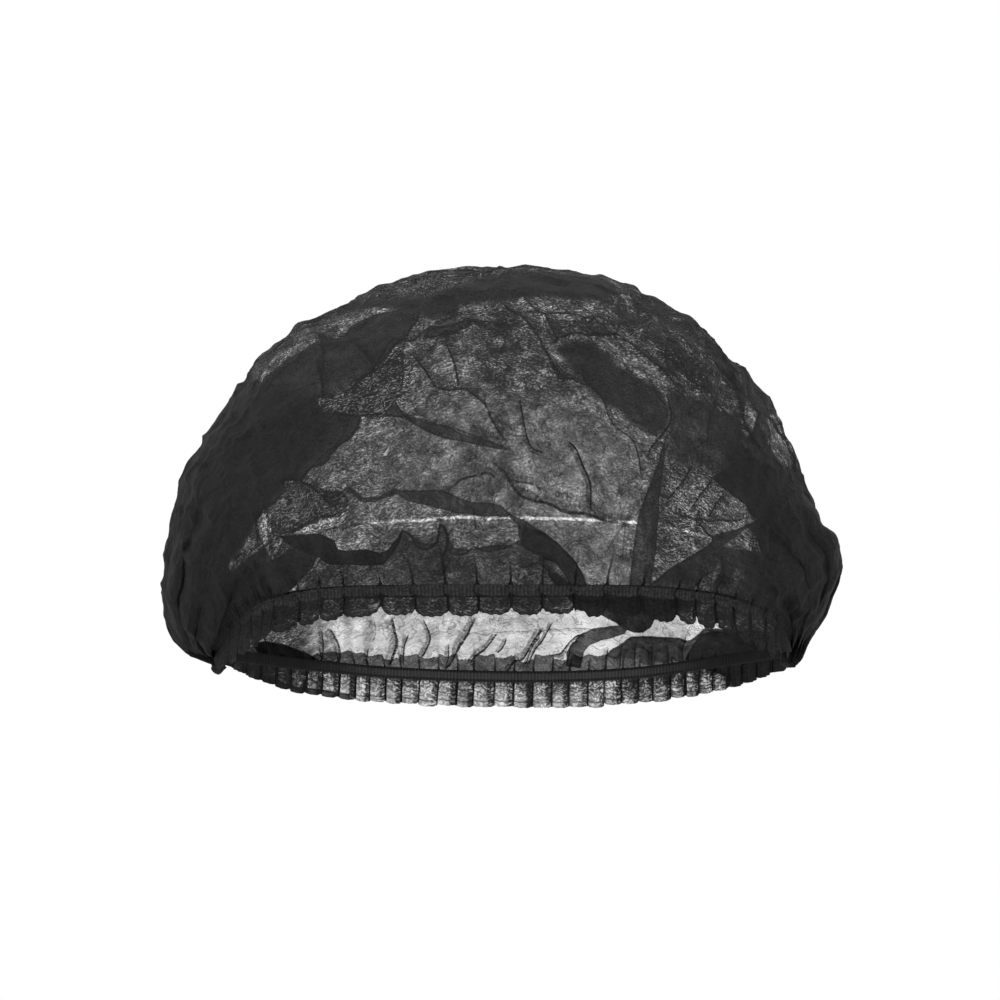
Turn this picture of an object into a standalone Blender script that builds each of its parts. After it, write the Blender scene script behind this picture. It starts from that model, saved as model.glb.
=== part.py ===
"""A disposable cap of thin pleated nonwoven cloth, open as it is worn.

The cap is one sheet gathered on two elastics, a front and a back one, that meet at two welded ends.
Frame: X runs from the left end weld to the right one, the front looks along -Y, and Z is up.
The origin is the centre of the head opening, level with the end welds. All sizes are in metres.
"""

import math
from typing import NamedTuple

import bmesh
import bpy
import numpy as np

# Head opening
RIM_HALF_WIDTH = 0.1255
RIM_HALF_DEPTH = 0.0800
BAND_THICKNESS = 0.0009

# Cloth, modelled thicker than the real web so that the wall is a solid
CLOTH_WALL = 0.0011
CLEARANCE = 0.0003
HEAD_CENTRE = np.array([0.0, 0.0, 0.045])

# Gathers: pleats between the two end welds, and how far they stand out at the free edge
FRONT_PLEATS = 24
BACK_PLEATS = 38
COLUMNS_PER_PLEAT = 4
FRONT_PLEAT_DEPTH = 0.0030
BACK_PLEAT_DEPTH = 0.0018
FRONT_SCALLOP = 0.0012
END_FADE_PLEATS = 2.5
UNEVEN_SHARE = 0.22
UNEVEN_WAVES = 7.0

# End welds: the pressed and welded ends of the pleat stack
WELD_WIDTH = 0.0046
WELD_HEIGHT = 0.0265
WELD_THICKNESS = 0.0030
WELD_BOTTOM = -0.0075
WELD_ROUNDING = 0.0005

# The cloth is pulled in towards each end weld, and fans out round it
PINCH_DEPTH = 0.0100
PINCH_HALF_WIDTH = 0.0090
PINCH_BOTTOM = 0.0050
PINCH_TOP = 0.0700
FAN_FOLDS = 15
FAN_DEPTH = 0.0030
FAN_NEAR = 0.0220
FAN_FAR = 0.0700
FAN_CENTRE_HEIGHT = 0.0080
SIDE_ZONE_START = 0.1000

# The rims rise steeply beside the end welds and then run level, as shares of the way to the middle
ARCH_START = 0.08
ARCH_END = 0.72

# Mesh rows of the dome above the gathers, and the section above which its columns are thinned
DOME_ROWS = 10
TOP_ROWS = 3
TOP_START = 11.0
BAND_SEGMENTS = 48
RIM_LENGTH_STEPS = 2000

CLOTH_COLOUR = (0.020, 0.020, 0.021, 1.0)
ELASTIC_COLOUR = (0.012, 0.012, 0.013, 1.0)
WELD_COLOUR = (0.010, 0.010, 0.010, 1.0)


class Section(NamedTuple):
    """One level of the crown: its reach to each side, its heights, its pleats and how it rises from the ends."""

    name: str
    left: float
    right: float
    side_height: float
    front: float
    front_height: float
    back: float
    back_height: float
    pleat: float
    steep: float


SECTIONS = (
    Section("free edge", 0.1265, 0.1265, -0.0070, 0.0835, 0.0052, 0.0835, -0.0135, 1.00, 1.00),
    Section("band low", 0.1255, 0.1255, -0.0027, 0.0800, 0.0148, 0.0800, -0.0030, 0.45, 1.00),
    Section("band high", 0.1255, 0.1255, 0.0027, 0.0800, 0.0202, 0.0800, 0.0024, 0.45, 1.00),
    Section("gathers", 0.1345, 0.1325, 0.0040, 0.0870, 0.0275, 0.0860, 0.0097, 0.95, 0.85),
    Section("skirt", 0.1440, 0.1390, 0.0080, 0.0990, 0.0380, 0.0975, 0.0215, 0.55, 0.55),
    Section("low bulge", 0.1500, 0.1450, 0.0180, 0.1100, 0.0500, 0.1085, 0.0360, 0.25, 0.20),
    Section("widest", 0.1512, 0.1495, 0.0370, 0.1170, 0.0690, 0.1150, 0.0580, 0.10, 0.00),
    Section("above widest", 0.1475, 0.1405, 0.0610, 0.1160, 0.0870, 0.1140, 0.0800, 0.00, 0.00),
    Section("lower dome", 0.1395, 0.1315, 0.0825, 0.1110, 0.1030, 0.1090, 0.0990, 0.00, 0.00),
    Section("middle dome", 0.1265, 0.1220, 0.1050, 0.1030, 0.1180, 0.1010, 0.1160, 0.00, 0.00),
    Section("shoulder", 0.1115, 0.1060, 0.1265, 0.0920, 0.1320, 0.0900, 0.1310, 0.00, 0.00),
    Section("upper dome", 0.0930, 0.0880, 0.1440, 0.0780, 0.1440, 0.0770, 0.1440, 0.00, 0.00),
    Section("top", 0.0690, 0.0690, 0.1575, 0.0590, 0.1560, 0.0590, 0.1560, 0.00, 0.00),
    Section("near apex", 0.0340, 0.0320, 0.1690, 0.0310, 0.1675, 0.0310, 0.1675, 0.00, 0.00),
    Section("apex", 0.0000, 0.0000, 0.1720, 0.0000, 0.1720, 0.0000, 0.1720, 0.00, 0.00),
)
GATHERED_ROWS = 5
FIRST_FOLDED_ROW = 3


class Fold(NamedTuple):
    """A fold of the dome: its two ends seen from the front, and its cross-section."""

    name: str
    on_front: bool
    from_x: float
    from_z: float
    to_x: float
    to_z: float
    half_width: float
    depth: float


FOLDS = (
    Fold("brow", True, -0.056, 0.130, 0.003, 0.146, 0.009, 0.0050),
    Fold("crest", True, 0.021, 0.148, 0.083, 0.110, 0.009, 0.0050),
    Fold("left lens", True, -0.081, 0.106, 0.002, 0.091, 0.008, 0.0042),
    Fold("left shoulder", True, -0.062, 0.106, -0.088, 0.078, 0.009, 0.0045),
    Fold("low strip", True, -0.068, 0.074, 0.003, 0.064, 0.008, 0.0045),
    Fold("falling", True, 0.003, 0.064, 0.037, 0.033, 0.008, 0.0045),
    Fold("low flap", True, -0.099, 0.053, -0.053, 0.041, 0.008, 0.0045),
    Fold("right upright", True, 0.072, 0.096, 0.060, 0.036, 0.007, 0.0045),
    Fold("right fan", True, 0.083, 0.032, 0.115, 0.046, 0.007, 0.0040),
    Fold("right side", True, 0.090, 0.141, 0.106, 0.091, 0.009, 0.0045),
    Fold("back crease", False, -0.059, 0.059, 0.091, 0.052, 0.008, 0.0030),
    Fold("back left", False, -0.095, 0.110, -0.020, 0.140, 0.010, 0.0045),
    Fold("back right", False, 0.015, 0.120, 0.090, 0.085, 0.010, 0.0045),
)


def material(name, colour, roughness):
    """Return a Principled material of one colour and roughness."""
    made = bpy.data.materials.new(name)
    made.use_nodes = True
    shader = made.node_tree.nodes["Principled BSDF"]
    shader.inputs["Base Color"].default_value = colour
    shader.inputs["Roughness"].default_value = roughness
    shader.inputs["Metallic"].default_value = 0.0
    return made


def along_sections(column, where):
    """Read a column of SECTIONS at the fractional rows in where, on a smooth curve through its values."""
    values = np.array([getattr(section, column) for section in SECTIONS])
    low = np.clip(np.floor(where).astype(int), 0, len(values) - 2)
    t = where - low
    before = values[np.maximum(low - 1, 0)]
    here = values[low]
    after = values[low + 1]
    beyond = values[np.minimum(low + 2, len(values) - 1)]
    slope_here = (after - before) / 2
    slope_after = (beyond - here) / 2
    rise = after - here
    return here + slope_here * t + (3 * rise - 2 * slope_here - slope_after) * t**2 + (
        slope_here + slope_after - 2 * rise
    ) * t**3


def half_rim_angles(count):
    """Return count angles from 0 towards pi that split half of the rim's ellipse into equal lengths."""
    fine = np.linspace(0.0, math.pi, RIM_LENGTH_STEPS + 1)
    steps = np.hypot(RIM_HALF_WIDTH * np.diff(np.cos(fine)), RIM_HALF_DEPTH * np.diff(np.sin(fine)))
    length = np.concatenate(([0.0], np.cumsum(steps)))
    return np.interp(np.arange(count) / count * length[-1], length, fine)


def column_angles():
    """Return the angle of every mesh column, the back's pleats first, then the front's."""
    back = half_rim_angles(BACK_PLEATS * COLUMNS_PER_PLEAT)
    front = math.pi + half_rim_angles(FRONT_PLEATS * COLUMNS_PER_PLEAT)
    return np.concatenate((back, front))


def pleat_wave():
    """Return each column's place in its pleat, from -1 to 1, fading out at the end welds."""
    waves = []
    for pleats in (BACK_PLEATS, FRONT_PLEATS):
        place = np.arange(pleats * COLUMNS_PER_PLEAT) / COLUMNS_PER_PLEAT
        from_end = np.minimum(place, pleats - place)
        uneven = 1.0 + UNEVEN_SHARE * np.sin(UNEVEN_WAVES * place / pleats * math.pi + pleats)
        waves.append(np.sin(2 * math.pi * place) * np.minimum(1.0, from_end / END_FADE_PLEATS) * uneven)
    return np.concatenate(waves)


def bump(distance, half_width):
    """Return a smooth hump, 1 at distance 0 and near nothing at twice half_width."""
    return np.exp(-((distance / half_width) ** 2))


def fold_push(x, y, z):
    """Return how far the folds, the pinches and the fans at the ends push each point outwards."""
    push = np.zeros_like(x)
    for fold in FOLDS:
        run_x = fold.to_x - fold.from_x
        run_z = fold.to_z - fold.from_z
        length_2 = run_x**2 + run_z**2
        t = np.clip(((x - fold.from_x) * run_x + (z - fold.from_z) * run_z) / length_2, 0.0, 1.0)
        distance = np.hypot(x - fold.from_x - t * run_x, z - fold.from_z - t * run_z)
        facing = y < 0 if fold.on_front else y > 0
        push -= fold.depth * bump(distance, fold.half_width) * facing
    upward = np.clip((z - PINCH_BOTTOM) / (PINCH_TOP - PINCH_BOTTOM), 0.0, 1.0)
    at_side = np.abs(x) > SIDE_ZONE_START
    push -= PINCH_DEPTH * np.sin(math.pi * np.sqrt(upward)) * bump(y, PINCH_HALF_WIDTH) * at_side
    from_end = np.hypot(y, z - FAN_CENTRE_HEIGHT)
    turn = np.arctan2(z - FAN_CENTRE_HEIGHT, y)
    reach = np.clip((from_end - FAN_NEAR) / (FAN_FAR - FAN_NEAR), 0.0, 1.0)
    push += FAN_DEPTH * np.sin(math.pi * reach) * np.cos(FAN_FOLDS * turn) * at_side
    return push


def rise(sin, steep):
    """Return the share of the way up from the end welds: sin squared, or a steep arch as steep nears 1."""
    t = np.clip((np.abs(sin) - ARCH_START) / (ARCH_END - ARCH_START), 0.0, 1.0)
    arch = t**2 * (3.0 - 2.0 * t)
    return sin**2 + steep * (arch - sin**2)


def crown_points(where, angles, wave):
    """Return the points of the crown's ring at fractional section where, one for each angle."""
    cos = np.cos(angles)
    sin = np.sin(angles)
    reach_x = np.where(cos > 0, along_sections("right", where), along_sections("left", where))
    reach_y = np.where(sin > 0, along_sections("back", where), along_sections("front", where))
    end_height = np.where(
        sin > 0, along_sections("back_height", where), along_sections("front_height", where)
    )
    x = reach_x * cos
    y = reach_y * sin
    up = rise(sin, along_sections("steep", where))
    z = along_sections("side_height", where) * (1.0 - up) + end_height * up
    depth = np.where(sin > 0, BACK_PLEAT_DEPTH, FRONT_PLEAT_DEPTH)
    pleat = depth * wave * along_sections("pleat", where)
    outward_x = cos / RIM_HALF_WIDTH
    outward_y = sin / RIM_HALF_DEPTH
    outward = np.hypot(outward_x, outward_y)
    x = x + pleat * outward_x / outward
    y = y + pleat * outward_y / outward
    z = z - FRONT_SCALLOP * wave * (sin < 0) * max(0.0, 1.0 - where)
    if where > FIRST_FOLDED_ROW:
        from_centre = np.stack((x, y, z), axis=1) - HEAD_CENTRE
        from_centre /= np.linalg.norm(from_centre, axis=1)[:, None]
        push = fold_push(x, y, z)
        x, y, z = (np.stack((x, y, z), axis=1) + push[:, None] * from_centre).T
    return np.stack((x, y, z), axis=1)


class Ring(NamedTuple):
    """A ring of mesh vertices and the mesh columns that they stand on."""

    vertices: list
    first_column: int
    stride: int


def crown_ring(mesh, where, first_column, stride):
    """Add the crown's ring at fractional section where, on every stride-th column."""
    angles = column_angles()[first_column::stride]
    wave = pleat_wave()[first_column::stride]
    points = crown_points(where, angles, wave)
    return Ring([mesh.verts.new(point) for point in points], first_column, stride)


def join_rings(mesh, lower, upper):
    """Join two rings with faces, where the upper has as many vertices as the lower or half as many."""
    count = len(upper.vertices)
    share = upper.stride // lower.stride
    shift = (upper.first_column - lower.first_column) // lower.stride
    for i in range(count):
        top = upper.vertices[i]
        top_next = upper.vertices[(i + 1) % count]
        low = [lower.vertices[(share * i + shift + k) % len(lower.vertices)] for k in range(share + 1)]
        if share == 1:
            mesh.faces.new((low[0], low[1], top_next, top))
        else:
            mesh.faces.new((low[0], low[1], top))
            mesh.faces.new((low[1], top_next, top))
            mesh.faces.new((low[1], low[2], top_next))


def crown_surface():
    """Return a mesh of the crown's middle surface: gathered rings, the dome's rings and the apex."""
    last = len(SECTIONS) - 1
    dome_rows = np.linspace(GATHERED_ROWS, TOP_START, DOME_ROWS)
    top_rows = np.linspace(TOP_START, last, TOP_ROWS + 2)[1:-1]
    mesh = bmesh.new()
    rings = [crown_ring(mesh, row, 0, 1) for row in range(GATHERED_ROWS)]
    rings += [crown_ring(mesh, row, 1, 2) for row in dome_rows]
    rings += [crown_ring(mesh, row, 1, 4) for row in top_rows]
    for lower, upper in zip(rings, rings[1:]):
        join_rings(mesh, lower, upper)
    highest = rings[-1].vertices
    apex = mesh.verts.new((0.0, 0.0, SECTIONS[last].side_height))
    for i, vertex in enumerate(highest):
        mesh.faces.new((vertex, highest[(i + 1) % len(highest)], apex))
    return mesh


def ribbon_surface(on_front, inset, first_angle):
    """Return a mesh of one elastic's middle surface, which follows the rim inside the cloth."""
    angles = np.linspace(first_angle, math.pi - first_angle, BAND_SEGMENTS + 1)
    if on_front:
        angles = angles + math.pi
    plain = np.zeros_like(angles)
    low = crown_points(1, angles, plain)
    high = crown_points(2, angles, plain)
    inward = np.stack((np.cos(angles) / RIM_HALF_WIDTH, np.sin(angles) / RIM_HALF_DEPTH, plain), axis=1)
    inward *= -inset / np.linalg.norm(inward, axis=1)[:, None]
    mesh = bmesh.new()
    bottom = [mesh.verts.new(point) for point in low + inward]
    top = [mesh.verts.new(point) for point in high + inward]
    for i in range(BAND_SEGMENTS):
        mesh.faces.new((bottom[i], bottom[i + 1], top[i + 1], top[i]))
    return mesh


def shell(name, mesh, thickness, made_of, collection):
    """Make an object of an open surface, with a wall that Solidify centres on it."""
    bmesh.ops.recalc_face_normals(mesh, faces=mesh.faces)
    data = bpy.data.meshes.new(name)
    mesh.to_mesh(data)
    mesh.free()
    data.materials.append(made_of)
    data.shade_smooth()
    piece = bpy.data.objects.new(name, data)
    collection.objects.link(piece)
    wall = piece.modifiers.new("wall", "SOLIDIFY")
    wall.thickness = thickness
    wall.offset = 0.0
    return piece


def end_weld(name, side, made_of, collection):
    """Make the flat bar that the pleats' ends are welded into, just inside the cloth at one end."""
    bpy.ops.mesh.primitive_cube_add(size=1.0)
    piece = bpy.context.object
    piece.name = name
    piece.data.name = name
    outer_face = RIM_HALF_WIDTH - CLOTH_WALL / 2 - CLEARANCE
    piece.location = (side * (outer_face - WELD_WIDTH / 2), 0.0, WELD_BOTTOM + WELD_HEIGHT / 2)
    piece.scale = (WELD_WIDTH, WELD_THICKNESS, WELD_HEIGHT)
    bpy.ops.object.transform_apply(location=False, rotation=False, scale=True)
    rounding = piece.modifiers.new("rounding", "BEVEL")
    rounding.width = WELD_ROUNDING
    rounding.segments = 2
    piece.data.materials.append(made_of)
    for holder in list(piece.users_collection):
        holder.objects.unlink(piece)
    collection.objects.link(piece)
    return piece


def band_inset(pleat_depth):
    """Return how far an elastic's middle lies inside the rim, clear of the deepest pleat."""
    deepest = pleat_depth * (1.0 + UNEVEN_SHARE) * SECTIONS[1].pleat
    return deepest + CLOTH_WALL / 2 + CLEARANCE + BAND_THICKNESS / 2


def main():
    """Empty the scene, then build each piece of the cap."""
    for old in list(bpy.data.objects):
        bpy.data.objects.remove(old, do_unlink=True)
    cap = bpy.data.collections.new("disposable_cap")
    bpy.context.scene.collection.children.link(cap)
    cloth = material("nonwoven_cloth", CLOTH_COLOUR, 0.85)
    elastic = material("elastic", ELASTIC_COLOUR, 0.70)
    welded = material("welded_cloth", WELD_COLOUR, 0.45)
    shell("crown", crown_surface(), CLOTH_WALL, cloth, cap)
    end_angle = (WELD_THICKNESS / 2 + CLEARANCE) / (RIM_HALF_DEPTH - band_inset(FRONT_PLEAT_DEPTH))
    for name, on_front, depth in (
        ("front_elastic", True, FRONT_PLEAT_DEPTH),
        ("back_elastic", False, BACK_PLEAT_DEPTH),
    ):
        ribbon = ribbon_surface(on_front, band_inset(depth), end_angle)
        shell(name, ribbon, BAND_THICKNESS, elastic, cap)
    end_weld("left_end_weld", -1, welded, cap)
    end_weld("right_end_weld", 1, welded, cap)


main()
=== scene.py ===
"""A disposable cap of thin black nonwoven cloth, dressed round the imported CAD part.

The cloth is one web, gathered along a front and a back elastic and welded at both ends.
Its resting form, its gathers, its concertina pleats at the ends and its chance folds are
worked out as functions of two numbers: u runs along the strip from the left weld (0) to
the right one (1), and m is the distance in metres along the cloth, from the front elastic
(0) over the crown to the back elastic. All lengths are in metres unless a name says mm.
"""

import logging
import math
from dataclasses import dataclass, field
from enum import Enum

import bpy
import numpy as np
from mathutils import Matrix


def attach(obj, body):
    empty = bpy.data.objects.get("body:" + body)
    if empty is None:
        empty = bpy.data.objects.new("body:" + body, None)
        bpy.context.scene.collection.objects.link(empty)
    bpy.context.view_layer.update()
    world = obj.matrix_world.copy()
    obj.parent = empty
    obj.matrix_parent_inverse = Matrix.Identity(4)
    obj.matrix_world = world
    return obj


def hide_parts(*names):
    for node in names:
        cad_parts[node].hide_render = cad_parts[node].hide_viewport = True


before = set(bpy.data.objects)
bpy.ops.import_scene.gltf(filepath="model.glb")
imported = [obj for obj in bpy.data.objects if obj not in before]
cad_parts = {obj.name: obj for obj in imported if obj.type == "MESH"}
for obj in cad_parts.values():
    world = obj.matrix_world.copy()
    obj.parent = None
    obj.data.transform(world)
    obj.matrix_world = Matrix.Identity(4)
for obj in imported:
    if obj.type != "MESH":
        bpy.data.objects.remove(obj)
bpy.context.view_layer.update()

logging.basicConfig(level=logging.INFO, format="%(message)s")
log = logging.getLogger("cap")

MM = 0.001
TURN = 2.0 * math.pi
PICTURE_SIDE = 1000
SENSOR = 36.0
# Millimetres at the cap that one pixel of the photograph stands for.
PIXEL_MM = 0.442
# What a point's distance from a fold is where no fold is near.
FAR_MM = 9.0
# Metres above and below the elastic in which the band's own lap fades.
BAND_REACH = 0.0028
# The strip's length as the crumpling measures it, which is a little more than the real one.
CRUMPLE_SPAN_MM = 560.0
# Metres of web above each elastic that are meshed finely, for the gathers.
SKIRT = 0.056


def ease(low: float, high: float, x: np.ndarray) -> np.ndarray:
    """Smooth step: 0 below low, 1 above high, 3t^2 - 2t^3 between.

    Args:
        low: where the step starts.
        high: where it ends.
        x: the values.

    Returns:
        The share for each value.
    """
    t = np.clip((x - low) / (high - low), 0.0, 1.0)
    return t * t * (3.0 - 2.0 * t)


def bell(x: np.ndarray) -> np.ndarray:
    """exp(-x^2)."""
    return np.exp(-np.square(x))


def between_welds(u: np.ndarray, start: float, end: float) -> np.ndarray:
    """Smooth step up from the left weld, times the same from the right one.

    Args:
        u: share of the strip's length.
        start: the share up to which the result is 0.
        end: the share from which it is 1.

    Returns:
        The step for each u.
    """
    return ease(start, end, u) * ease(start, end, 1.0 - u)


def fade_up(above: np.ndarray, start: float, reach: np.ndarray | float) -> np.ndarray:
    """1 on the frill and up to start above the elastic, then exp(-((above - start) / reach)^2).

    Args:
        above: metres above the elastic, negative on the frill.
        start: metres above it from which the result falls.
        reach: metres in which it falls to 1 / e.

    Returns:
        The fade for each point.
    """
    return bell(np.maximum(above - start, 0.0) / reach)


def smooth_path(points: np.ndarray, count: int) -> np.ndarray:
    """Catmull-Rom curve through the points, at even steps of its own length.

    Args:
        points: the points, one a row.
        count: how many points to return.

    Returns:
        The points of the curve, one a row.
    """
    p = np.vstack([2 * points[0] - points[1], points, 2 * points[-1] - points[-2]])
    spans = len(points) - 1
    t = np.linspace(0.0, spans, 40 * spans + 1)
    k = np.minimum(t.astype(int), spans - 1)
    f = (t - k)[:, None]
    a, b, c, d = p[k], p[k + 1], p[k + 2], p[k + 3]
    bend = (2 * a - 5 * b + 4 * c - d) * f**2 + (3 * b - a - 3 * c + d) * f**3
    curve = 0.5 * (2 * b + (c - a) * f + bend)
    return even_steps(curve, count)


def even_steps(curve: np.ndarray, count: int, measure: np.ndarray | None = None) -> np.ndarray:
    """The curve again at even steps of its length.

    Args:
        curve: dense points, one a row.
        count: how many points to return.
        measure: what to multiply each column by before lengths are taken.

    Returns:
        The points, one a row.
    """
    scaled = curve if measure is None else curve * measure
    steps = np.linalg.norm(np.diff(scaled, axis=0), axis=1)
    length = np.concatenate([[0.0], np.cumsum(steps)])
    at = np.linspace(0.0, length[-1], count)
    return np.column_stack([np.interp(at, length, column) for column in curve.T])


def lattice_noise(x: np.ndarray, y: np.ndarray, seed: int) -> np.ndarray:
    """Smooth noise from -1 to 1: random values on a unit lattice, eased between its points.

    Args:
        x: the first coordinate, in lattice steps.
        y: the second one.
        seed: which lattice.

    Returns:
        The noise at each point.
    """
    size = 64
    values = np.random.default_rng(seed).uniform(-1.0, 1.0, (size, size))
    i, j = np.floor(x).astype(int), np.floor(y).astype(int)
    s, t = ease(0, 1, x - i), ease(0, 1, y - j)
    i0, j0, i1, j1 = i % size, j % size, (i + 1) % size, (j + 1) % size
    near = values[i0, j0] * (1 - s) + values[i1, j0] * s
    far = values[i0, j1] * (1 - s) + values[i1, j1] * s
    return near * (1 - t) + far * t


def creased_noise(x: np.ndarray, y: np.ndarray, seed: int) -> np.ndarray:
    """Noise with sharp ridges, as crumpled cloth has: 1 - 2 times the size of plain noise.

    Args:
        x: the first coordinate, in lattice steps.
        y: the second one.
        seed: which lattice.

    Returns:
        The noise at each point, from -1 to 1.
    """
    return 1.0 - 2.0 * np.abs(lattice_noise(x, y, seed))


@dataclass(frozen=True)
class Lens:
    """The camera that looks at the cap as the photograph does, from a little below the rim."""

    distance: float = 1.30
    elevation: float = -10.0
    focal_mm: float = 105.9
    centre: tuple[float, float, float] = (-0.0013, 0.0, 0.069)

    @property
    def forward(self) -> np.ndarray:
        """The direction that the camera looks in."""
        e = math.radians(self.elevation)
        return np.array([0.0, math.cos(e), -math.sin(e)])

    @property
    def upward(self) -> np.ndarray:
        """The picture's up direction."""
        e = math.radians(self.elevation)
        return np.array([0.0, math.sin(e), math.cos(e)])

    @property
    def place(self) -> np.ndarray:
        """Where the camera stands."""
        return np.array(self.centre) - self.forward * self.distance

    def picture(self, points: np.ndarray) -> np.ndarray:
        """Perspective view of points: offset over depth, times the focal length in pixels.

        Args:
            points: places in the row frame, the last axis being x, y, z.

        Returns:
            Picture x and y, in pixels from the top left corner, on the last axis.
        """
        offset = points - self.place
        depth = offset @ self.forward
        scale = self.focal_mm / SENSOR * PICTURE_SIDE / depth
        across = PICTURE_SIDE / 2 + offset[..., 0] * scale
        down = PICTURE_SIDE / 2 - (offset @ self.upward) * scale
        return np.stack([across, down], axis=-1)

    def mount(self) -> None:
        """Makes the scene's camera."""
        data = bpy.data.cameras.new("camera")
        data.lens = self.focal_mm
        data.sensor_width = SENSOR
        camera = bpy.data.objects.new("camera", data)
        bpy.context.scene.collection.objects.link(camera)
        camera.location = self.place
        camera.rotation_euler = (math.radians(90.0 - self.elevation), 0.0, 0.0)
        data.clip_start, data.clip_end = 0.01, 50.0
        bpy.context.scene.camera = camera


class Wall(Enum):
    """Which wall of the crown a fold lies on, as the camera sees them."""

    NEAR = "near"
    FAR = "far"


class FoldKind(Enum):
    """How the cloth is folded along a path."""

    CREASE = "crease"
    FLAP = "flap"
    UNDER = "under"
    LAP = "lap"
    SHADE = "shade"
    STROKES = "strokes"


class Taper(Enum):
    """How a fold's width runs along its path."""

    LENS = "lens"
    EVEN = "even"


@dataclass(frozen=True)
class Fold:
    """One fold of the crown, along a path given by x and y, in turn, in pixels of the photograph.

    A CREASE is a sharp line, width_mm wide. A FLAP, an UNDER or a LAP is a closed patch
    where the cloth lies double, and a SHADE one with a soft edge, width_mm to each side.
    proud_mm is how far the fold stands out of the wall, and ink how much more light it
    holds back, as a weight to add. Less than nothing lets more light through. calm is how
    far the patch hides the crinkles. STROKES make the crinkles stronger or weaker by their
    ink, with a soft edge.
    """

    name: str
    wall: Wall
    kind: FoldKind
    path: tuple[float, ...]
    width_mm: float = 1.0
    proud_mm: float = 0.8
    ink: float = 1.0
    taper: Taper = Taper.LENS
    calm: float = 0.0


# The outline of the cap over the top, x and z in mm, from the left weld to the right one.
CREST_MM = (
    (-125.8, 6), (-128.5, 0.5), (-137.4, 1.8), (-144, 10.3), (-147.2, 21), (-147.2, 29.6), (-146.8, 37.4),
    (-146.5, 45.4), (-145.8, 53.3), (-145.2, 61.3), (-142.7, 68.9), (-141.3, 76.9), (-140.2, 85.2),
    (-134.9, 91.6), (-130.9, 98.6), (-126.5, 105.3), (-121.4, 111.5), (-117.3, 118.3), (-111.5, 123.8),
    (-108.3, 131.7), (-102.2, 137.1), (-95.8, 142), (-90.3, 148), (-82.6, 151), (-74.8, 153.5),
    (-67.7, 156.7), (-61, 160.9), (-53.7, 164), (-46.1, 165.8), (-38.5, 167.9), (-31.2, 171.2),
    (-23.5, 172.4), (-15.6, 172.9), (-7.7, 172.3), (0, 173.6), (7.9, 173.6), (15.7, 173.2), (23.5, 171.9),
    (31.2, 170.8), (39.2, 170), (46.9, 168.2), (54, 164.4), (60.9, 160.6), (68.5, 158.2), (75.4, 154.4),
    (82.7, 151), (88, 144.8), (93.2, 138.6), (97.4, 131.7), (104, 127.4), (109.7, 122.2), (115, 116.4),
    (118.4, 109.2), (121.8, 102.2), (125.2, 95.3), (127.8, 88.1), (130, 80.7), (133.4, 73.9), (137.5, 67.3),
    (139.7, 59.9), (146.6, 53.4), (148.3, 45.6), (148.4, 37.6), (145.2, 29.5), (140.2, 20.4), (134.6, 11.9),
    (130.8, 3.5), (127.6, 0.5), (125.8, 6),
)

# A wall's section from the elastic to the crest: reach (1 at the elastic) and height (1 at the crest).
SECTION = (
    (1, 0), (1.08, 0.05), (1.23, 0.104), (1.365, 0.17), (1.45, 0.284), (1.44, 0.4), (1.375, 0.507),
    (1.275, 0.606), (1.14, 0.698), (0.97, 0.78), (0.7375, 0.864), (0.3875, 0.951), (0, 1),
)

# Heights of the two elastics, in mm, at shares of the way from the left weld to the right one.
FRONT_RIM = (
    (0, 0), (0.03, 0.3), (0.0625, 1.6), (0.09, 6), (0.125, 11.5), (0.16, 15.3), (0.1875, 17.2),
    (0.25, 18.4), (0.31, 18.4), (0.375, 17.8), (0.5, 17.2), (0.625, 17.8), (0.69, 18.3), (0.75, 17.9),
    (0.81, 16.9), (0.875, 13.8), (0.91, 11), (0.94, 8), (0.97, 3.5), (1, 0),
)
BACK_RIM = (
    (0, 0), (0.0625, 2), (0.125, 2.7), (0.1875, 2.3), (0.25, 1.8), (0.31, 0.8), (0.375, 0.2), (0.5, -0.6),
    (0.6, -0.7), (0.69, 0), (0.75, 1.3), (0.81, 2.8), (0.875, 3.5), (0.94, 3.2), (1, 0),
)

# Where the photograph shows the lines between puffs at the two elastics, in pixels across.
FRONT_LINES = (
    232, 242, 253, 264, 275, 300, 322, 345, 382, 415, 447, 478, 511, 542, 574, 606, 641, 677, 695, 715, 733,
    750, 764, 775,
)
BACK_LINES = (
    232, 246, 261, 276, 291, 307, 323, 340, 356, 370, 386, 402, 420, 439, 458, 474, 495, 514, 533, 552, 569,
    588, 604, 621, 638, 652, 670, 685, 699, 713, 727, 741, 755, 769,
)


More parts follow.
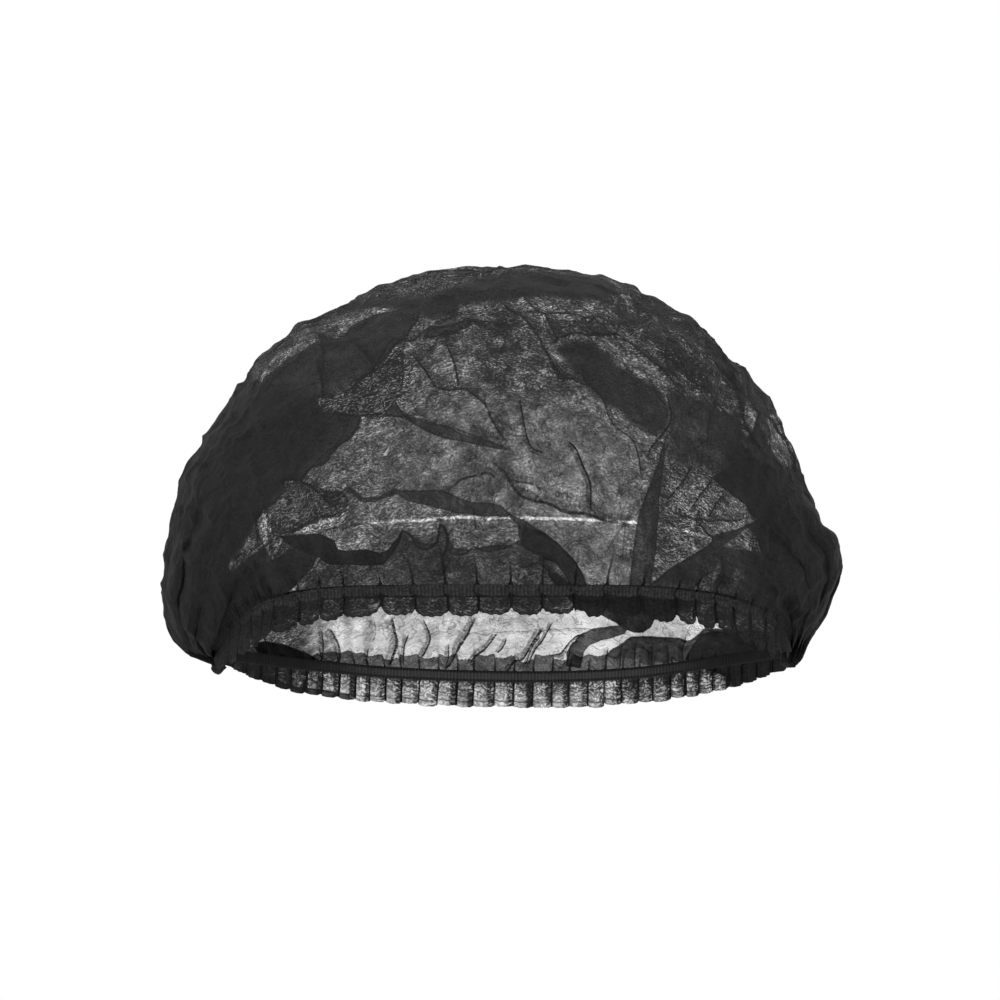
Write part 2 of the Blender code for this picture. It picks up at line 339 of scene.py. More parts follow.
@dataclass
class CapForm:
    """The resting form of the web, before gathers and folds."""

    half_width: float = 0.1258
    half_depth: float = 0.0780
    end_height: float = 0.006
    frill: float = 0.0135
    frill_flare: float = 0.05
    stations: int = 2001
    crest: np.ndarray = field(init=False)
    section: np.ndarray = field(init=False)
    rim: np.ndarray = field(init=False)
    rises: tuple[np.ndarray, np.ndarray] = field(init=False)
    web: float = field(init=False)
    rim_length: float = field(init=False)

    def __post_init__(self) -> None:
        """Works out the crest, the section and the rim at even steps of their length."""
        self.crest = smooth_path(np.array(CREST_MM, float) * MM, self.stations)
        dense = smooth_path(np.array(SECTION, float), self.stations)
        measure = np.array([self.half_depth, self.crest[:, 1].max()])
        self.section = even_steps(dense, self.stations, measure)
        steps = np.diff(self.section, axis=0) * measure
        self.web = 2.0 * float(np.linalg.norm(steps, axis=1).sum())
        turn = np.linspace(0.0, math.pi, self.stations)
        ellipse = np.column_stack([-self.half_width * np.cos(turn), self.half_depth * np.sin(turn)])
        self.rim_length = float(np.linalg.norm(np.diff(ellipse, axis=0), axis=1).sum())
        self.rim = even_steps(ellipse, self.stations)
        self.rises = tuple(smooth_path(np.array(table), 400) for table in (FRONT_RIM, BACK_RIM))

    def along(self, table: np.ndarray, share: np.ndarray) -> tuple[np.ndarray, np.ndarray]:
        """Both columns of a table of even steps, at shares of its length.

        Args:
            table: one of the form's tables.
            share: from 0 to 1.

        Returns:
            The two columns.
        """
        at = np.linspace(0.0, 1.0, len(table))
        return np.interp(share, at, table[:, 0]), np.interp(share, at, table[:, 1])

    def rim_height(self, u: np.ndarray, front: np.ndarray) -> np.ndarray:
        """Height of the elastic: the front one arches up, the back one hardly does.

        Args:
            u: share of the strip's length.
            front: true on the front elastic.

        Returns:
            The height of the elastic's centre line.
        """
        near, far = (np.interp(u, rise[:, 0], rise[:, 1]) for rise in self.rises)
        return np.where(front, near, far) * MM

    def hang_share(self, u: np.ndarray, front: np.ndarray, sine: np.ndarray) -> np.ndarray:
        """How much of its length the frill shows to the camera, from the middle of the rim to its ends.

        Args:
            u: share of the strip's length.
            front: true on the front frill.
            sine: 1 in the middle of the rim, 0 at the welds.

        Returns:
            The share for each point.
        """
        near = (0.94 + 0.80 * (1.0 - sine)) * ease(0.02, 0.45, sine)
        middle = ease(0.12, 0.78, sine)
        far = 0.97 * (0.30 + 0.70 * middle)
        far = far + np.where(u > 0.5, 0.32, 0.0) * (1.0 - middle) * ease(0.0, 0.15, sine)
        return np.where(front, near, far)

    def rest(self, u: np.ndarray, m: np.ndarray) -> np.ndarray:
        """Place on the resting form: a slice from the front elastic over the crest to the back.

        With O the point between the two elastics, C the crest and F the elastic, a point is
        O + (C - O) height + (F - O) reach. Below the elastic the frill hangs straight down
        and flares a little.

        Args:
            u: share of the strip's length.
            m: metres from the front elastic, over the crown.

        Returns:
            The places, x, y, z on the last axis.
        """
        front = m < self.web / 2
        below = np.maximum(np.maximum(-m, m - self.web), 0.0)
        inner = np.clip(m, 0.0, self.web)
        share = np.where(front, inner, self.web - inner) / (self.web / 2)
        reach, height = self.along(self.section, share)
        crest_x, crest_z = self.along(self.crest, np.clip(u, 0.0, 1.0))
        rim_x, rim_y = self.along(self.rim, np.clip(u, 0.0, 1.0))
        side = np.where(front, -1.0, 1.0)
        hang = below * self.hang_share(u, front, rim_y / self.half_depth)
        reach = reach + self.frill_flare * below / self.frill
        rim_z = self.rim_height(u, front)
        x = rim_x + (crest_x - rim_x) * height
        y = side * rim_y * reach
        z = crest_z * height + rim_z * reach * (1.0 - height) - hang
        return np.stack([x, y, z], axis=-1)

    def outward(self, u: np.ndarray, m: np.ndarray) -> np.ndarray:
        """Unit direction out of the resting form, from differences along u and m.

        Args:
            u: share of the strip's length.
            m: metres from the front elastic.

        Returns:
            The directions.
        """
        du, dm = 2e-3, 1e-3
        along = self.rest(u + du, m) - self.rest(u - du, m)
        over = self.rest(u, m + dm) - self.rest(u, m - dm)
        normal = np.cross(along, over)
        away = np.stack([np.sign(u - 0.5), np.zeros_like(u), np.zeros_like(u)], axis=-1)
        normal = normal + away * 1e-9
        return normal / np.maximum(np.linalg.norm(normal, axis=-1, keepdims=True), 1e-12)


@dataclass
class Gathers:
    """The pleats that an elastic draws the cloth into.

    seen_lines are the picture x of the lines where one puff folds under the next, at the
    elastic. A lap over 1 folds the cloth over itself there, and lap_band is the lap on the
    elastic itself. fin is the depth of the narrow fold at each line, puff_above and
    puff_frill are the heights of the puffs. notch is how far the frill's edge is cut up at
    a line, as a share of its length. line_mm and line_ink are the half width and the ink of
    the dark line. lean is how far the lines lean, in pleats a metre, and fin_share the half
    width of a fin in pleats. calm_end is the share of the strip at each weld that stays
    plain, and longer what the frill hangs more in its middle.
    """

    form: CapForm
    lens: Lens
    on_front: bool
    seen_lines: tuple[float, ...]
    lap: float
    lap_band: float
    fin: float
    puff_above: float
    puff_frill: float
    notch: float
    line_mm: float
    line_ink: float
    seed: int
    lean: float = 12.0
    fin_share: float = 0.16
    calm_end: float = 0.0
    longer: float = 0.0
    stops: np.ndarray = field(init=False)
    counts: np.ndarray = field(init=False)

    def __post_init__(self) -> None:
        """Finds the share of the strip's length at which the camera sees each line."""
        u = np.linspace(0.0, 1.0, 2001)
        below = 0.3 * self.form.frill
        m = np.full_like(u, -below if self.on_front else self.form.web + below)
        seen = np.maximum.accumulate(self.lens.picture(self.form.rest(u, m))[:, 0])
        lines = np.interp(self.seen_lines, seen, u)
        count = len(lines)
        self.stops = np.concatenate([[0.0], lines, [1.0]])
        self.counts = np.concatenate([[0.0], np.arange(count) + 0.5, [count]])

    @property
    def pleats(self) -> int:
        """How many puffs there are."""
        return len(self.seen_lines)

    def chance(self, index: np.ndarray, salt: int, low: float, high: float) -> np.ndarray:
        """One random number for each puff or line.

        Args:
            index: its number along the strip.
            salt: which set of numbers.
            low: the least.
            high: the most.

        Returns:
            The number for each index.
        """
        table = np.random.default_rng(self.seed + salt).uniform(low, high, self.pleats + 8)
        return table[np.clip(index.astype(int) + 4, 0, self.pleats + 7)]


@dataclass
class GatheredPoints:
    """What the gathers of one elastic do at a grid of points.

    u is the share of the strip's length, and above the metres above the elastic, negative
    on the frill. t counts the pleats along the strip, whole in the middle of each puff,
    and leans by an amount that differs from line to line. puff is the nearest puff, and
    line the puff before the nearest line. lapped is how far each point moves along the
    strip, in pleats: lap / (2 pi) sin(2 pi t), so that cloth near t = .5 folds over. slide
    is the same move as a share of the strip's length. off is how far the moved point lies
    from the middle of its puff, in pleats.
    """

    gathers: Gathers
    u: np.ndarray
    above: np.ndarray
    t: np.ndarray = field(init=False)
    line: np.ndarray = field(init=False)
    puff: np.ndarray = field(init=False)
    lapped: np.ndarray = field(init=False)
    slide: np.ndarray = field(init=False)
    off: np.ndarray = field(init=False)

    def __post_init__(self) -> None:
        """Works out the counts and the moves."""
        g, u, above = self.gathers, self.u, self.above
        count = np.interp(u, g.stops, g.counts)
        lean = lattice_noise(count / 3.4, np.zeros_like(u) + 0.5, g.seed + 50)
        self.t = count + g.lean * lean * np.clip(above, -0.02, 0.02) * between_welds(u, 0.0, 0.06)
        self.line, self.puff = np.floor(self.t), np.round(self.t)
        lap = g.lap * fade_up(above, 0.003, g.chance(self.line, 1, 0.002, 0.006))
        lap = lap * g.chance(self.line, 2, 0.82, 1.18) + (g.lap_band - g.lap) * bell(above / BAND_REACH)
        ends = between_welds(u, g.calm_end, 0.03 + 2 * g.calm_end)
        self.lapped = lap * ends * np.sin(TURN * self.t) / TURN
        self.slide = np.interp(count + self.lapped, g.counts, g.stops) - u
        self.off = self.t + self.lapped - self.puff

    def relief(self) -> np.ndarray:
        """Puffs between the lines, narrow fins inward at the lines, and a lap's layers apart.

        Returns:
            Metres along the outward direction.
        """
        g, above = self.gathers, self.above
        wave = 0.5 + 0.5 * np.cos(TURN * self.t)
        rise = ease(0.002, 0.009, above) * fade_up(above, 0.009, g.chance(self.puff, 3, 0.018, 0.045))
        hang = ease(0.002, 0.012, -above)
        puff = 0.3 * MM + g.puff_above * rise + g.puff_frill * hang
        fin_reach = g.chance(self.line, 8, 0.003, 0.008)
        deep = fade_up(above, 0.006, fin_reach) * ease(0.0022, 0.007, np.abs(above))
        deep = deep * g.chance(self.line, 9, 0.8, 1.2)
        fin = g.fin * deep * bell((self.t - self.line - 0.5) / g.fin_share)
        gap = 0.35 * MM * bell(above / 0.03) * g.chance(self.line, 5, 0.8, 1.2)
        ends = between_welds(self.u, 1.6 * g.calm_end, 0.05 + 4.0 * g.calm_end)
        return (puff * g.chance(self.puff, 4, 0.65, 1.35) * wave - fin - gap * np.sin(TURN * self.t)) * ends

    def off_middle(self) -> np.ndarray:
        """How far a moved point lies from the middle of its puff.

        Returns:
            The distance, 0 to 1 at the line where the puff ends.
        """
        return np.minimum(2.0 * np.abs(self.off), 1.0)

    def hem(self) -> np.ndarray:
        """Share of its length that the frill hangs: rounded between the lines, cut up at them.

        Returns:
            The share, about 1 in the middle of a puff.
        """
        g, off = self.gathers, self.off_middle()
        deep = g.notch * g.chance(self.line, 6, 0.75, 1.2)
        round_off = 0.75 * (1.0 - np.sqrt(1.0 - 0.98 * off**2.2)) + 0.25 * off**4
        reach = 1.0 + g.longer * ease(0.15, 0.35, self.u) * ease(0.10, 0.30, 1 - self.u)
        return reach * g.chance(self.puff, 7, 0.96, 1.04) - deep * round_off

    def hump_mm(self) -> np.ndarray:
        """How high the cloth lies double above the elastic, rounded between the lines.

        Returns:
            The height in mm.
        """
        return self.gathers.chance(self.puff, 10, 12.5, 20.0) - 3.0 * self.off_middle() ** 2

    def doubling(self) -> np.ndarray:
        """How much more light the frill holds back on the side of a puff where it lies double.

        Returns:
            What to add to the weight, less than nothing on the puff's other side.
        """
        return self.gathers.chance(self.puff, 14, 0.5, 1.5) * (1.7 * ease(0.10, 0.26, self.off) - 0.36)

    def line_marks(self) -> tuple[np.ndarray, np.ndarray]:
        """The dark lines where one puff meets the next.

        Returns:
            The distance from the line over the line's half width, and its ink.
        """
        g = self.gathers
        widths = np.gradient(g.stops)[np.clip(self.line + 1, 0, g.pleats + 1).astype(int)]
        puff_mm = g.form.rim_length / MM * widths
        gap = (self.t + self.lapped - self.line - 0.5) * puff_mm / g.line_mm
        fade = fade_up(self.above, 0.006, g.chance(self.line, 12, 0.004, 0.014))
        ends = between_welds(self.u, 0.0, 0.03 + 3 * g.calm_end)
        return gap, g.line_ink * fade * ends * g.chance(self.line, 13, 0.75, 1.2)


@dataclass
class WebPoints:
    """A grid of points of the web.

    u is the share of the strip's length, m the metres from the front elastic over the
    crown, and above the metres above the nearest elastic, negative on the frills.
    """

    u: np.ndarray
    m: np.ndarray
    above: np.ndarray

    @property
    def end(self) -> np.ndarray:
        """Share of the strip's length to the nearest weld."""
        return np.minimum(self.u, 1.0 - self.u)


@dataclass
class PleatedCloth:
    """The whole web: resting form, gathers, concertina pleats at the welds, and folds.

    panel is the web's length in one of the concertina's pleats. stack_height and
    stack_depth are half the height and half the depth of the pressed stack at a weld.
    crease_width is a crease's half width for a width_mm of 1, crease_reach_mm how far from
    its path points are looked at, and ridge_mm in how many mm its ridge falls to 1 / e.
    within_mm and proud_from_mm are where a sharp patch is whole and where it ends, in mm
    outside its path. ribs is how many ribs the elastics leave, each rib_height high.
    hump_ink is the ink of the doubled cloth above the back elastic. frill_calm is how far
    the front frill hides the crinkles, and stitch_ink how light the stitched line along its
    edge is, and how dark the back frill's. turned_from is how far the front frill hangs
    where its edge is turned up, turned_mm behind it. end_lap is the lap of the concertina
    at the welds, and end_wave_mm the height of its ridges. rim_uv is how long the UV map
    is along an elastic, in tenths of a metre, and crown_uv how much longer it is on the
    crown. The weights are how much light a layer holds back: the near wall, the far one,
    the two frills, what the ends add to them, and the least there is.
    """

    form: CapForm
    lens: Lens
    folds: tuple[Fold, ...]
    front: Gathers
    back: Gathers
    panel: float = 0.054
    stack_height: float = 0.0125
    stack_depth: float = 0.0012
    crease_width: float = 0.50
    crease_reach_mm: float = 12.0
    ridge_mm: float = 1.6
    within_mm: tuple[float, float] = (-0.9, 0.5)
    proud_from_mm: tuple[float, float] = (-1.4, 0.4)
    ribs: float = 206.0
    hump_ink: float = 1.9
    rib_height: float = 0.00060
    frill_calm: float = 0.35
    stitch_ink: float = 0.9
    turned_from: float = 0.0108
    turned_mm: float = 0.9
    end_lap: float = 1.6
    end_wave_mm: float = 0.9
    rim_uv: float = 3.4
    crown_uv: float = 1.9
    crown_weight: float = 1.35
    far_weight: float = 0.50
    front_frill_weight: float = 3.5
    back_frill_weight: float = 2.3
    end_weight: float = 1.3
    least_weight: float = 0.05
    traced: dict[str, dict] = field(init=False)

    def __post_init__(self) -> None:
        """Lays each crease's path on the resting form, and closes each patch in the picture."""
        self.traced = {fold.name: self.trace(fold) for fold in self.folds}

    def wall_range(self, wall: Wall) -> tuple[float, float]:
        """The stretch of m that a wall covers.

        Args:
            wall: the near or the far wall.

        Returns:
            The lowest and the highest m.
        """
        half, frill = self.form.web / 2, self.form.frill
        return (-frill, half) if wall is Wall.NEAR else (half, self.form.web + frill)

    def trace(self, fold: Fold) -> dict:
        """Finds where a crease's pixels fall on its wall, and carries a smooth path through them.

        A patch keeps its pixels, and is only closed. For a crease the wall is laid out as a
        grid and seen by the camera, the nearest grid point to each pixel is taken, and one
        Newton step on the picture's slopes brings it on to the pixel.

        Args:
            fold: the fold.

        Returns:
            A patch's closed path, or a crease's places, outward directions and width factors.
        """
        pixels = np.array(fold.path, float).reshape(-1, 2)
        if fold.kind is not FoldKind.CREASE:
            return {"pixels": np.vstack([pixels, pixels[:1]])}
        low, high = self.wall_range(fold.wall)
        u, m = np.meshgrid(np.linspace(0.004, 0.996, 420), np.linspace(low, high, 260))
        seen = self.lens.picture(self.form.rest(u, m))
        dense = smooth_path(pixels, max(5 * (len(pixels) - 1) + 1, 4))
        gap = np.square(seen.reshape(-1, 1, 2) - dense[None]).sum(-1)
        best = gap.argmin(0)
        uu, mm = u.ravel()[best], m.ravel()[best]
        du, dm = 1e-3, 5e-4
        here = self.lens.picture(self.form.rest(uu, mm))
        along = (self.lens.picture(self.form.rest(uu + du, mm)) - here) / du
        over = (self.lens.picture(self.form.rest(uu, mm + dm)) - here) / dm
        miss = dense - here
        area = along[:, 0] * over[:, 1] - along[:, 1] * over[:, 0]
        area = np.where(np.abs(area) < 1e3, 1e12, area)
        step_u = (miss[:, 0] * over[:, 1] - miss[:, 1] * over[:, 0]) / area
        step_m = (along[:, 0] * miss[:, 1] - along[:, 1] * miss[:, 0]) / area
        uu = uu + np.clip(step_u, -0.004, 0.004)
        mm = mm + np.clip(step_m, -0.003, 0.003)
        share = np.linspace(0.0, 1.0, len(dense))
        taper = {
            Taper.LENS: np.clip(np.sin(math.pi * share) * 1.6, 0.0, 1.0) ** 0.7,
            Taper.EVEN: np.ones_like(share),
        }[fold.taper]
        places = self.form.rest(uu, mm)
        return {"places": places, "outward": self.form.outward(uu, mm), "taper": taper}

    def nearness(self, traced: dict, places: np.ndarray) -> tuple[np.ndarray, np.ndarray]:
        """Signed distance of places from a traced crease.

        For each straight piece of the path the nearest point on it is found, and the best
        piece is kept. The sign is the side of the path, as seen from outside.

        Args:
            traced: a traced crease.
            places: points near it, one a row.

        Returns:
            The signed distance, and the path's taper there.
        """
        path, outward, taper = traced["places"], traced["outward"], traced["taper"]
        best = np.full(len(places), np.inf)
        side = np.zeros(len(places))
        width = np.zeros(len(places))
        for k in range(len(path) - 1):
            step = path[k + 1] - path[k]
            length = float(np.linalg.norm(step))
            if length < 1e-7:
                continue
            offset = places - path[k]
            share = np.clip(offset @ step / length**2, 0.0, 1.0)
            miss = offset - share[:, None] * step
            gap = np.linalg.norm(miss, axis=1)
            nearer = gap < best
            best = np.where(nearer, gap, best)
            side = np.where(nearer, np.sign(miss @ np.cross(outward[k], step)), side)
            width = np.where(nearer, taper[k] * (1 - share) + taper[k + 1] * share, width)
        return best * np.where(side < 0, -1.0, 1.0), width

    def patch_gap(self, path: np.ndarray, seen: np.ndarray) -> np.ndarray:
        """Signed distance of picture points from a closed path, negative inside.

        A point is inside where an odd count of edges is crossed on the way to its right.

        Args:
            path: the closed path, picture points, one a row.
            seen: picture points, one a row.

        Returns:
            The distance in mm at the cap.
        """
        best = np.full(len(seen), np.inf)
        odd = np.zeros(len(seen), bool)
        for start, end in zip(path[:-1], path[1:]):
            step = end - start
            offset = seen - start
            share = np.clip(offset @ step / (step @ step), 0.0, 1.0)
            best = np.minimum(best, np.linalg.norm(offset - share[:, None] * step, axis=1))
            if start[1] != end[1]:
                spans = (seen[:, 1] > start[1]) != (seen[:, 1] > end[1])
                odd ^= spans & (offset[:, 0] < offset[:, 1] * step[0] / step[1])
        return np.where(odd, -best, best) * PIXEL_MM

    def shape(self, u: np.ndarray, m: np.ndarray) -> dict[str, np.ndarray]:
        """Where the cloth's points go, and what the finish needs to know about them.

        Args:
            u: share of the strip's length, a grid.
            m: metres from the front elastic, a grid.

        Returns:
            Arrays by name: places, and one array for each attribute of the cloth.
        """
        form = self.form
        is_front = m < form.web / 2
        above = np.where(is_front, m, form.web - m)
        at = WebPoints(u, m, above)
        near, far = GatheredPoints(self.front, u, above), GatheredPoints(self.back, u, above)
        slid = WebPoints(u + np.where(is_front, near.slide, far.slide), m, above)
        hem = np.where(is_front, near.hem(), far.hem())
        hang = np.maximum(-above, 0.0) * hem
        folded = np.maximum(hang - self.turn_up(u, is_front), 0.0)
        hang = hang - 2.0 * folded
        frill_m = np.where(is_front, -hang, form.web + hang)
        place_m = np.where(above < 0, frill_m, m)
        place_m = place_m + self.concertina(slid)
        places = form.rest(slid.u, place_m)
        resting = places.reshape(-1, 3)
        outward = form.outward(slid.u, place_m)
        relief = np.where(is_front, near.relief(), far.relief())
        relief = relief - self.turned_mm * MM * ease(0.0, 1.0 * MM, folded)
        relief = relief + self.crumple(at) + self.end_waves(slid)
        relief = relief + self.fine_gathers(at)
        places = places + outward * relief[..., None]
        places = self.stack(places, slid)
        flat = places.reshape(-1, 3)
        doubled = np.where(is_front | (above < 0), FAR_MM, above / MM - far.hump_mm()).ravel()
        crest = ease(0.45, 1.0, 1.0 - np.abs(m / form.web - 0.5) * 2.0).ravel()
        marks = self.fold_marks(flat, resting, outward.reshape(-1, 3), is_front.ravel(), crest, doubled)
        moved = flat + marks.pop("shift")
        result = {name: value.reshape(u.shape) for name, value in marks.items()}
        result["places"] = moved.reshape(places.shape)
        result["weight"] = np.maximum(self.weight(at) + result.pop("shade"), self.least_weight)
        result["weight"] += far.doubling() * np.where(is_front | (above > 0), 0.0, 1.0)
        result["above_mm"] = above / MM
        result["edge_mm"] = (form.frill + np.minimum(above, 0.0)) / MM * hem
        result["ribs"] = slid.u * self.ribs
        result["calm"] = np.maximum(result["calm"], np.where(is_front & (above < 0), self.frill_calm, 0.0))
        result["across"] = (slid.u - 0.5) * (self.rim_uv + self.crown_uv * ease(0.0, 0.14, above))
        result["stitch"] = np.where(is_front, -self.stitch_ink, self.stitch_ink)
        result["from_end"] = ease(0.06, 0.24, at.end)
        for key, first, second in zip(("pleat_gap", "pleat_ink"), near.line_marks(), far.line_marks()):
            result[key] = np.where(is_front, first, second)
        return result

    def fine_gathers(self, at: WebPoints) -> np.ndarray:
        """The fine ribs that the stretched elastic leaves, lower on the elastic itself.

        Args:
            at: the points.

        Returns:
            Metres along the outward direction.
        """
        height = self.rib_height * (0.55 + 0.45 * ease(0.002, 0.006, np.abs(at.above)))
        rib = ease(0.02, 0.08, at.end) * np.cos(TURN * self.ribs * at.u)
        return height * fade_up(at.above, 0.0, 0.014) * rib

    def turn_up(self, u: np.ndarray, front: np.ndarray) -> np.ndarray:
        """How far down the frill hangs before its edge is turned up behind it.

        Args:
            u: share of the strip's length.
            front: true on the front frill.

        Returns:
            Metres, more than the frill's length where it isn't turned up.
        """
        whole = self.form.frill * 1.3
        dark = ease(0.578, 0.590, u) * ease(0.386, 0.396, 1 - u)
        return np.where(front, whole + (self.turned_from - whole) * dark, whole)

    def concertina(self, at: WebPoints) -> np.ndarray:
        """Laps across the strip that run out from the welds: lap / (2 pi) sin(2 pi t).

        Args:
            at: the points.

        Returns:
            The slide in m, in metres.
        """
        t = at.m / self.panel
        line = np.clip(np.floor(t).astype(int) + 8, 0, 39)
        reach = np.random.default_rng(71).uniform(0.10, 0.26, (2, 40))
        side = (at.u > 0.5).astype(int)
        lap = self.end_lap * (1.0 - ease(0.25, 1.0, at.end / reach[side, line]))
        lap = lap * ease(0.002, 0.012, np.where(at.above > 0, at.above, 0.0))
        return lap * np.sin(TURN * t) * self.panel / TURN

    def end_waves(self, at: WebPoints) -> np.ndarray:
        """The concertina's ridges, which stand out most some way from the welds and then die out.

        Args:
            at: the points.

        Returns:
            Metres along the outward direction.
        """
        t = at.m / self.panel
        rise = ease(0.0, 0.05, at.end) * (1.0 - ease(0.08, 0.20, at.end))
        fade = ease(0.0, 0.02, np.abs(at.above))
        ridge = np.cos(TURN * t) - 0.35 * np.sin(TURN * t)
        return self.end_wave_mm * MM * rise * fade * ridge

    def stack(self, places: np.ndarray, at: WebPoints) -> np.ndarray:
        """The pressed zigzag of pleats at each weld: height swings, depth creeps from front to back.

        Args:
            places: where the cloth's points are without it.
            at: the points.

        Returns:
            Where they are with it.
        """
        keep = bell(at.end / 0.020)[..., None]
        swing = 2.0 / math.pi * np.arcsin(0.985 * np.sin(TURN * (at.m / self.panel)))
        share = at.m / self.form.web - 0.5
        pressed = places.copy()
        pressed[..., 1] = 2.0 * self.stack_depth * share
        pressed[..., 2] = self.form.end_height + self.stack_height * swing
        return places * (1.0 - keep) + pressed * keep

    def crumple(self, at: WebPoints) -> np.ndarray:
        """Chance unevenness of thin cloth: soft swells and creased facets, least at the elastics.

        Args:
            at: the points.

        Returns:
            Metres along the outward direction.
        """
        x, y = at.u * CRUMPLE_SPAN_MM, at.m * 1000.0
        swell = 1.6 * lattice_noise(x / 46, y / 38, 5) + 0.9 * creased_noise(x / 27, y / 33, 6)
        swell = swell + 1.3 * creased_noise(x / 13 + 0.4 * lattice_noise(x / 40, y / 40, 13), y / 70, 12)
        facet = 0.75 * creased_noise(x / 12 + y / 60, y / 15, 7)
        facet = facet + 0.30 * creased_noise(x / 6.5, y / 8 + x / 40, 9)
        grain = 0.16 * lattice_noise(x / 3.1, y / 3.6, 8)
        free = ease(0.004, 0.030, at.above)
        small = np.where(at.above < 0, 0.7, 0.25 + 0.75 * free)
        return MM * (swell * free * ease(0.0, 0.06, at.end) + (facet * free + grain) * small)

    def wander(self, places: np.ndarray) -> np.ndarray:
        """Chance unevenness of the patches' lines: smooth noise, 7 mm across.

        Args:
            places: points of the cloth, one a row.

        Returns:
            How far each point is shifted in the picture, in pixels.
        """
        x, y, z = places.T / MM
        across, down = (x + 0.4 * y) / 7.0, (z + 0.3 * y) / 7.0
        return 0.9 * np.stack([lattice_noise(across, down, seed) for seed in (61, 62)], axis=-1)

    def fold_marks(
        self,
        places: np.ndarray,
        resting: np.ndarray,
        outward: np.ndarray,
        front: np.ndarray,
        crest: np.ndarray,
        doubled: np.ndarray,
    ) -> dict[str, np.ndarray]:
        """What the folds do to the cloth.

        A crease is a sharp ridge or valley. Inside a patch the cloth stands out by the
        thickness of a flap. A near patch runs on over the crest: both walls carry half of
        it there, and the far wall less and less further down.

        Args:
            places: points of the cloth, one a row.
            resting: the same points before any relief, which creases are measured from.
            outward: directions out of the cloth.
            front: true on the near wall.
            crest: 1 at the crest, 0 far below it.
            doubled: mm outside the humps above the back elastic, negative inside them.

        Returns:
            The shift of each point, and the cloth's fold attributes.
        """
        count = len(places)
        shift = np.zeros((count, 3))
        crease_gap = np.full(count, FAR_MM)
        crease_ink = np.zeros(count)
        sharp_kinds = (FoldKind.FLAP, FoldKind.UNDER)
        patch = {kind: [np.full(count, FAR_MM), np.zeros(count)] for kind in sharp_kinds}
        patch[FoldKind.LAP] = [doubled.copy(), np.where(doubled < FAR_MM, self.hump_ink, 0.0)]
        soft = {FoldKind.SHADE: np.zeros(count), FoldKind.STROKES: np.zeros(count)}
        calm = np.zeros(count)
        opened = np.zeros(count)
        seen = self.lens.picture(places) + self.wander(places)
        lent = np.where(front, 1.0 - 0.5 * crest, 0.5 * crest)
        for fold in self.folds:
            traced = self.traced[fold.name]
            mine = front if fold.wall is Wall.NEAR else ~front
            if fold.kind is FoldKind.CREASE:
                margin = self.crease_reach_mm * MM
                low, high = traced["places"].min(0) - margin, traced["places"].max(0) + margin
                near = np.flatnonzero(mine & (resting > low).all(1) & (resting < high).all(1))
                if not len(near):
                    continue
                gap, width = self.nearness(traced, resting[near])
                gap_mm = gap / MM
                half = self.crease_width * fold.width_mm
                closer = np.abs(gap_mm / half) < np.abs(crease_gap[near])
                crease_gap[near] = np.where(closer, gap_mm / half, crease_gap[near])
                strength = fold.ink * np.clip(width * 1.5, 0, 1) * (1 - ease(2.5, 4.5, np.abs(gap_mm)))
                crease_ink[near] = np.where(closer, strength, crease_ink[near])
                sharp = np.exp(-np.abs(gap_mm) / self.ridge_mm) * np.minimum(width * 1.5, 1.0)
                shift[near] += outward[near] * (fold.proud_mm * MM * sharp)[:, None]
                continue
            margin = 2.0 * max(6.0, fold.width_mm) / PIXEL_MM
            low, high = traced["pixels"].min(0) - margin, traced["pixels"].max(0) + margin
            part = lent if fold.wall is Wall.NEAR else np.ones(count)
            mine = mine | (part > 0.02) if fold.wall is Wall.NEAR else mine
            near = np.flatnonzero(mine & (seen > low).all(1) & (seen < high).all(1))
            if not len(near):
                continue
            part = part[near]
            like = np.minimum(2.0 * part, 1.0)
            signed = self.patch_gap(traced["pixels"], seen[near])
            if fold.kind in soft:
                within = 1.0 - ease(-fold.width_mm, fold.width_mm, signed)
                soft[fold.kind][near] += fold.ink * within * (part if fold.kind is FoldKind.SHADE else like)
                calm[near] = np.maximum(calm[near], fold.calm * within * like)
                continue
            within = 1.0 - ease(*self.within_mm, signed)
            calm[near] = np.maximum(calm[near], fold.calm * within * like)
            if fold.ink < 0:
                opened[near] = np.maximum(opened[near], within * like)
            gaps, inks = patch[fold.kind]
            closer = signed < gaps[near]
            gaps[near] = np.where(closer, signed, gaps[near])
            inks[near] = np.where(closer, fold.ink * part, inks[near])
            edge = 1.0 - ease(*self.proud_from_mm, signed)
            lip = bell((signed + 1.2) / 1.6)
            proud = fold.proud_mm * (0.5 * edge + 0.7 * lip) * like * MM
            shift[near] += outward[near] * proud[:, None]
        marks = {"shift": shift, "crease_gap": crease_gap, "crease_ink": crease_ink}
        for kind, (gaps, inks) in patch.items():
            marks[kind.value + "_gap"] = gaps
            marks[kind.value + "_ink"] = inks
        marks["shade"] = soft[FoldKind.SHADE]
        marks["strokes"] = np.clip(0.60 + soft[FoldKind.STROKES], 0.0, 1.5)
        marks["calm"] = calm * (1.0 - opened)
        return marks

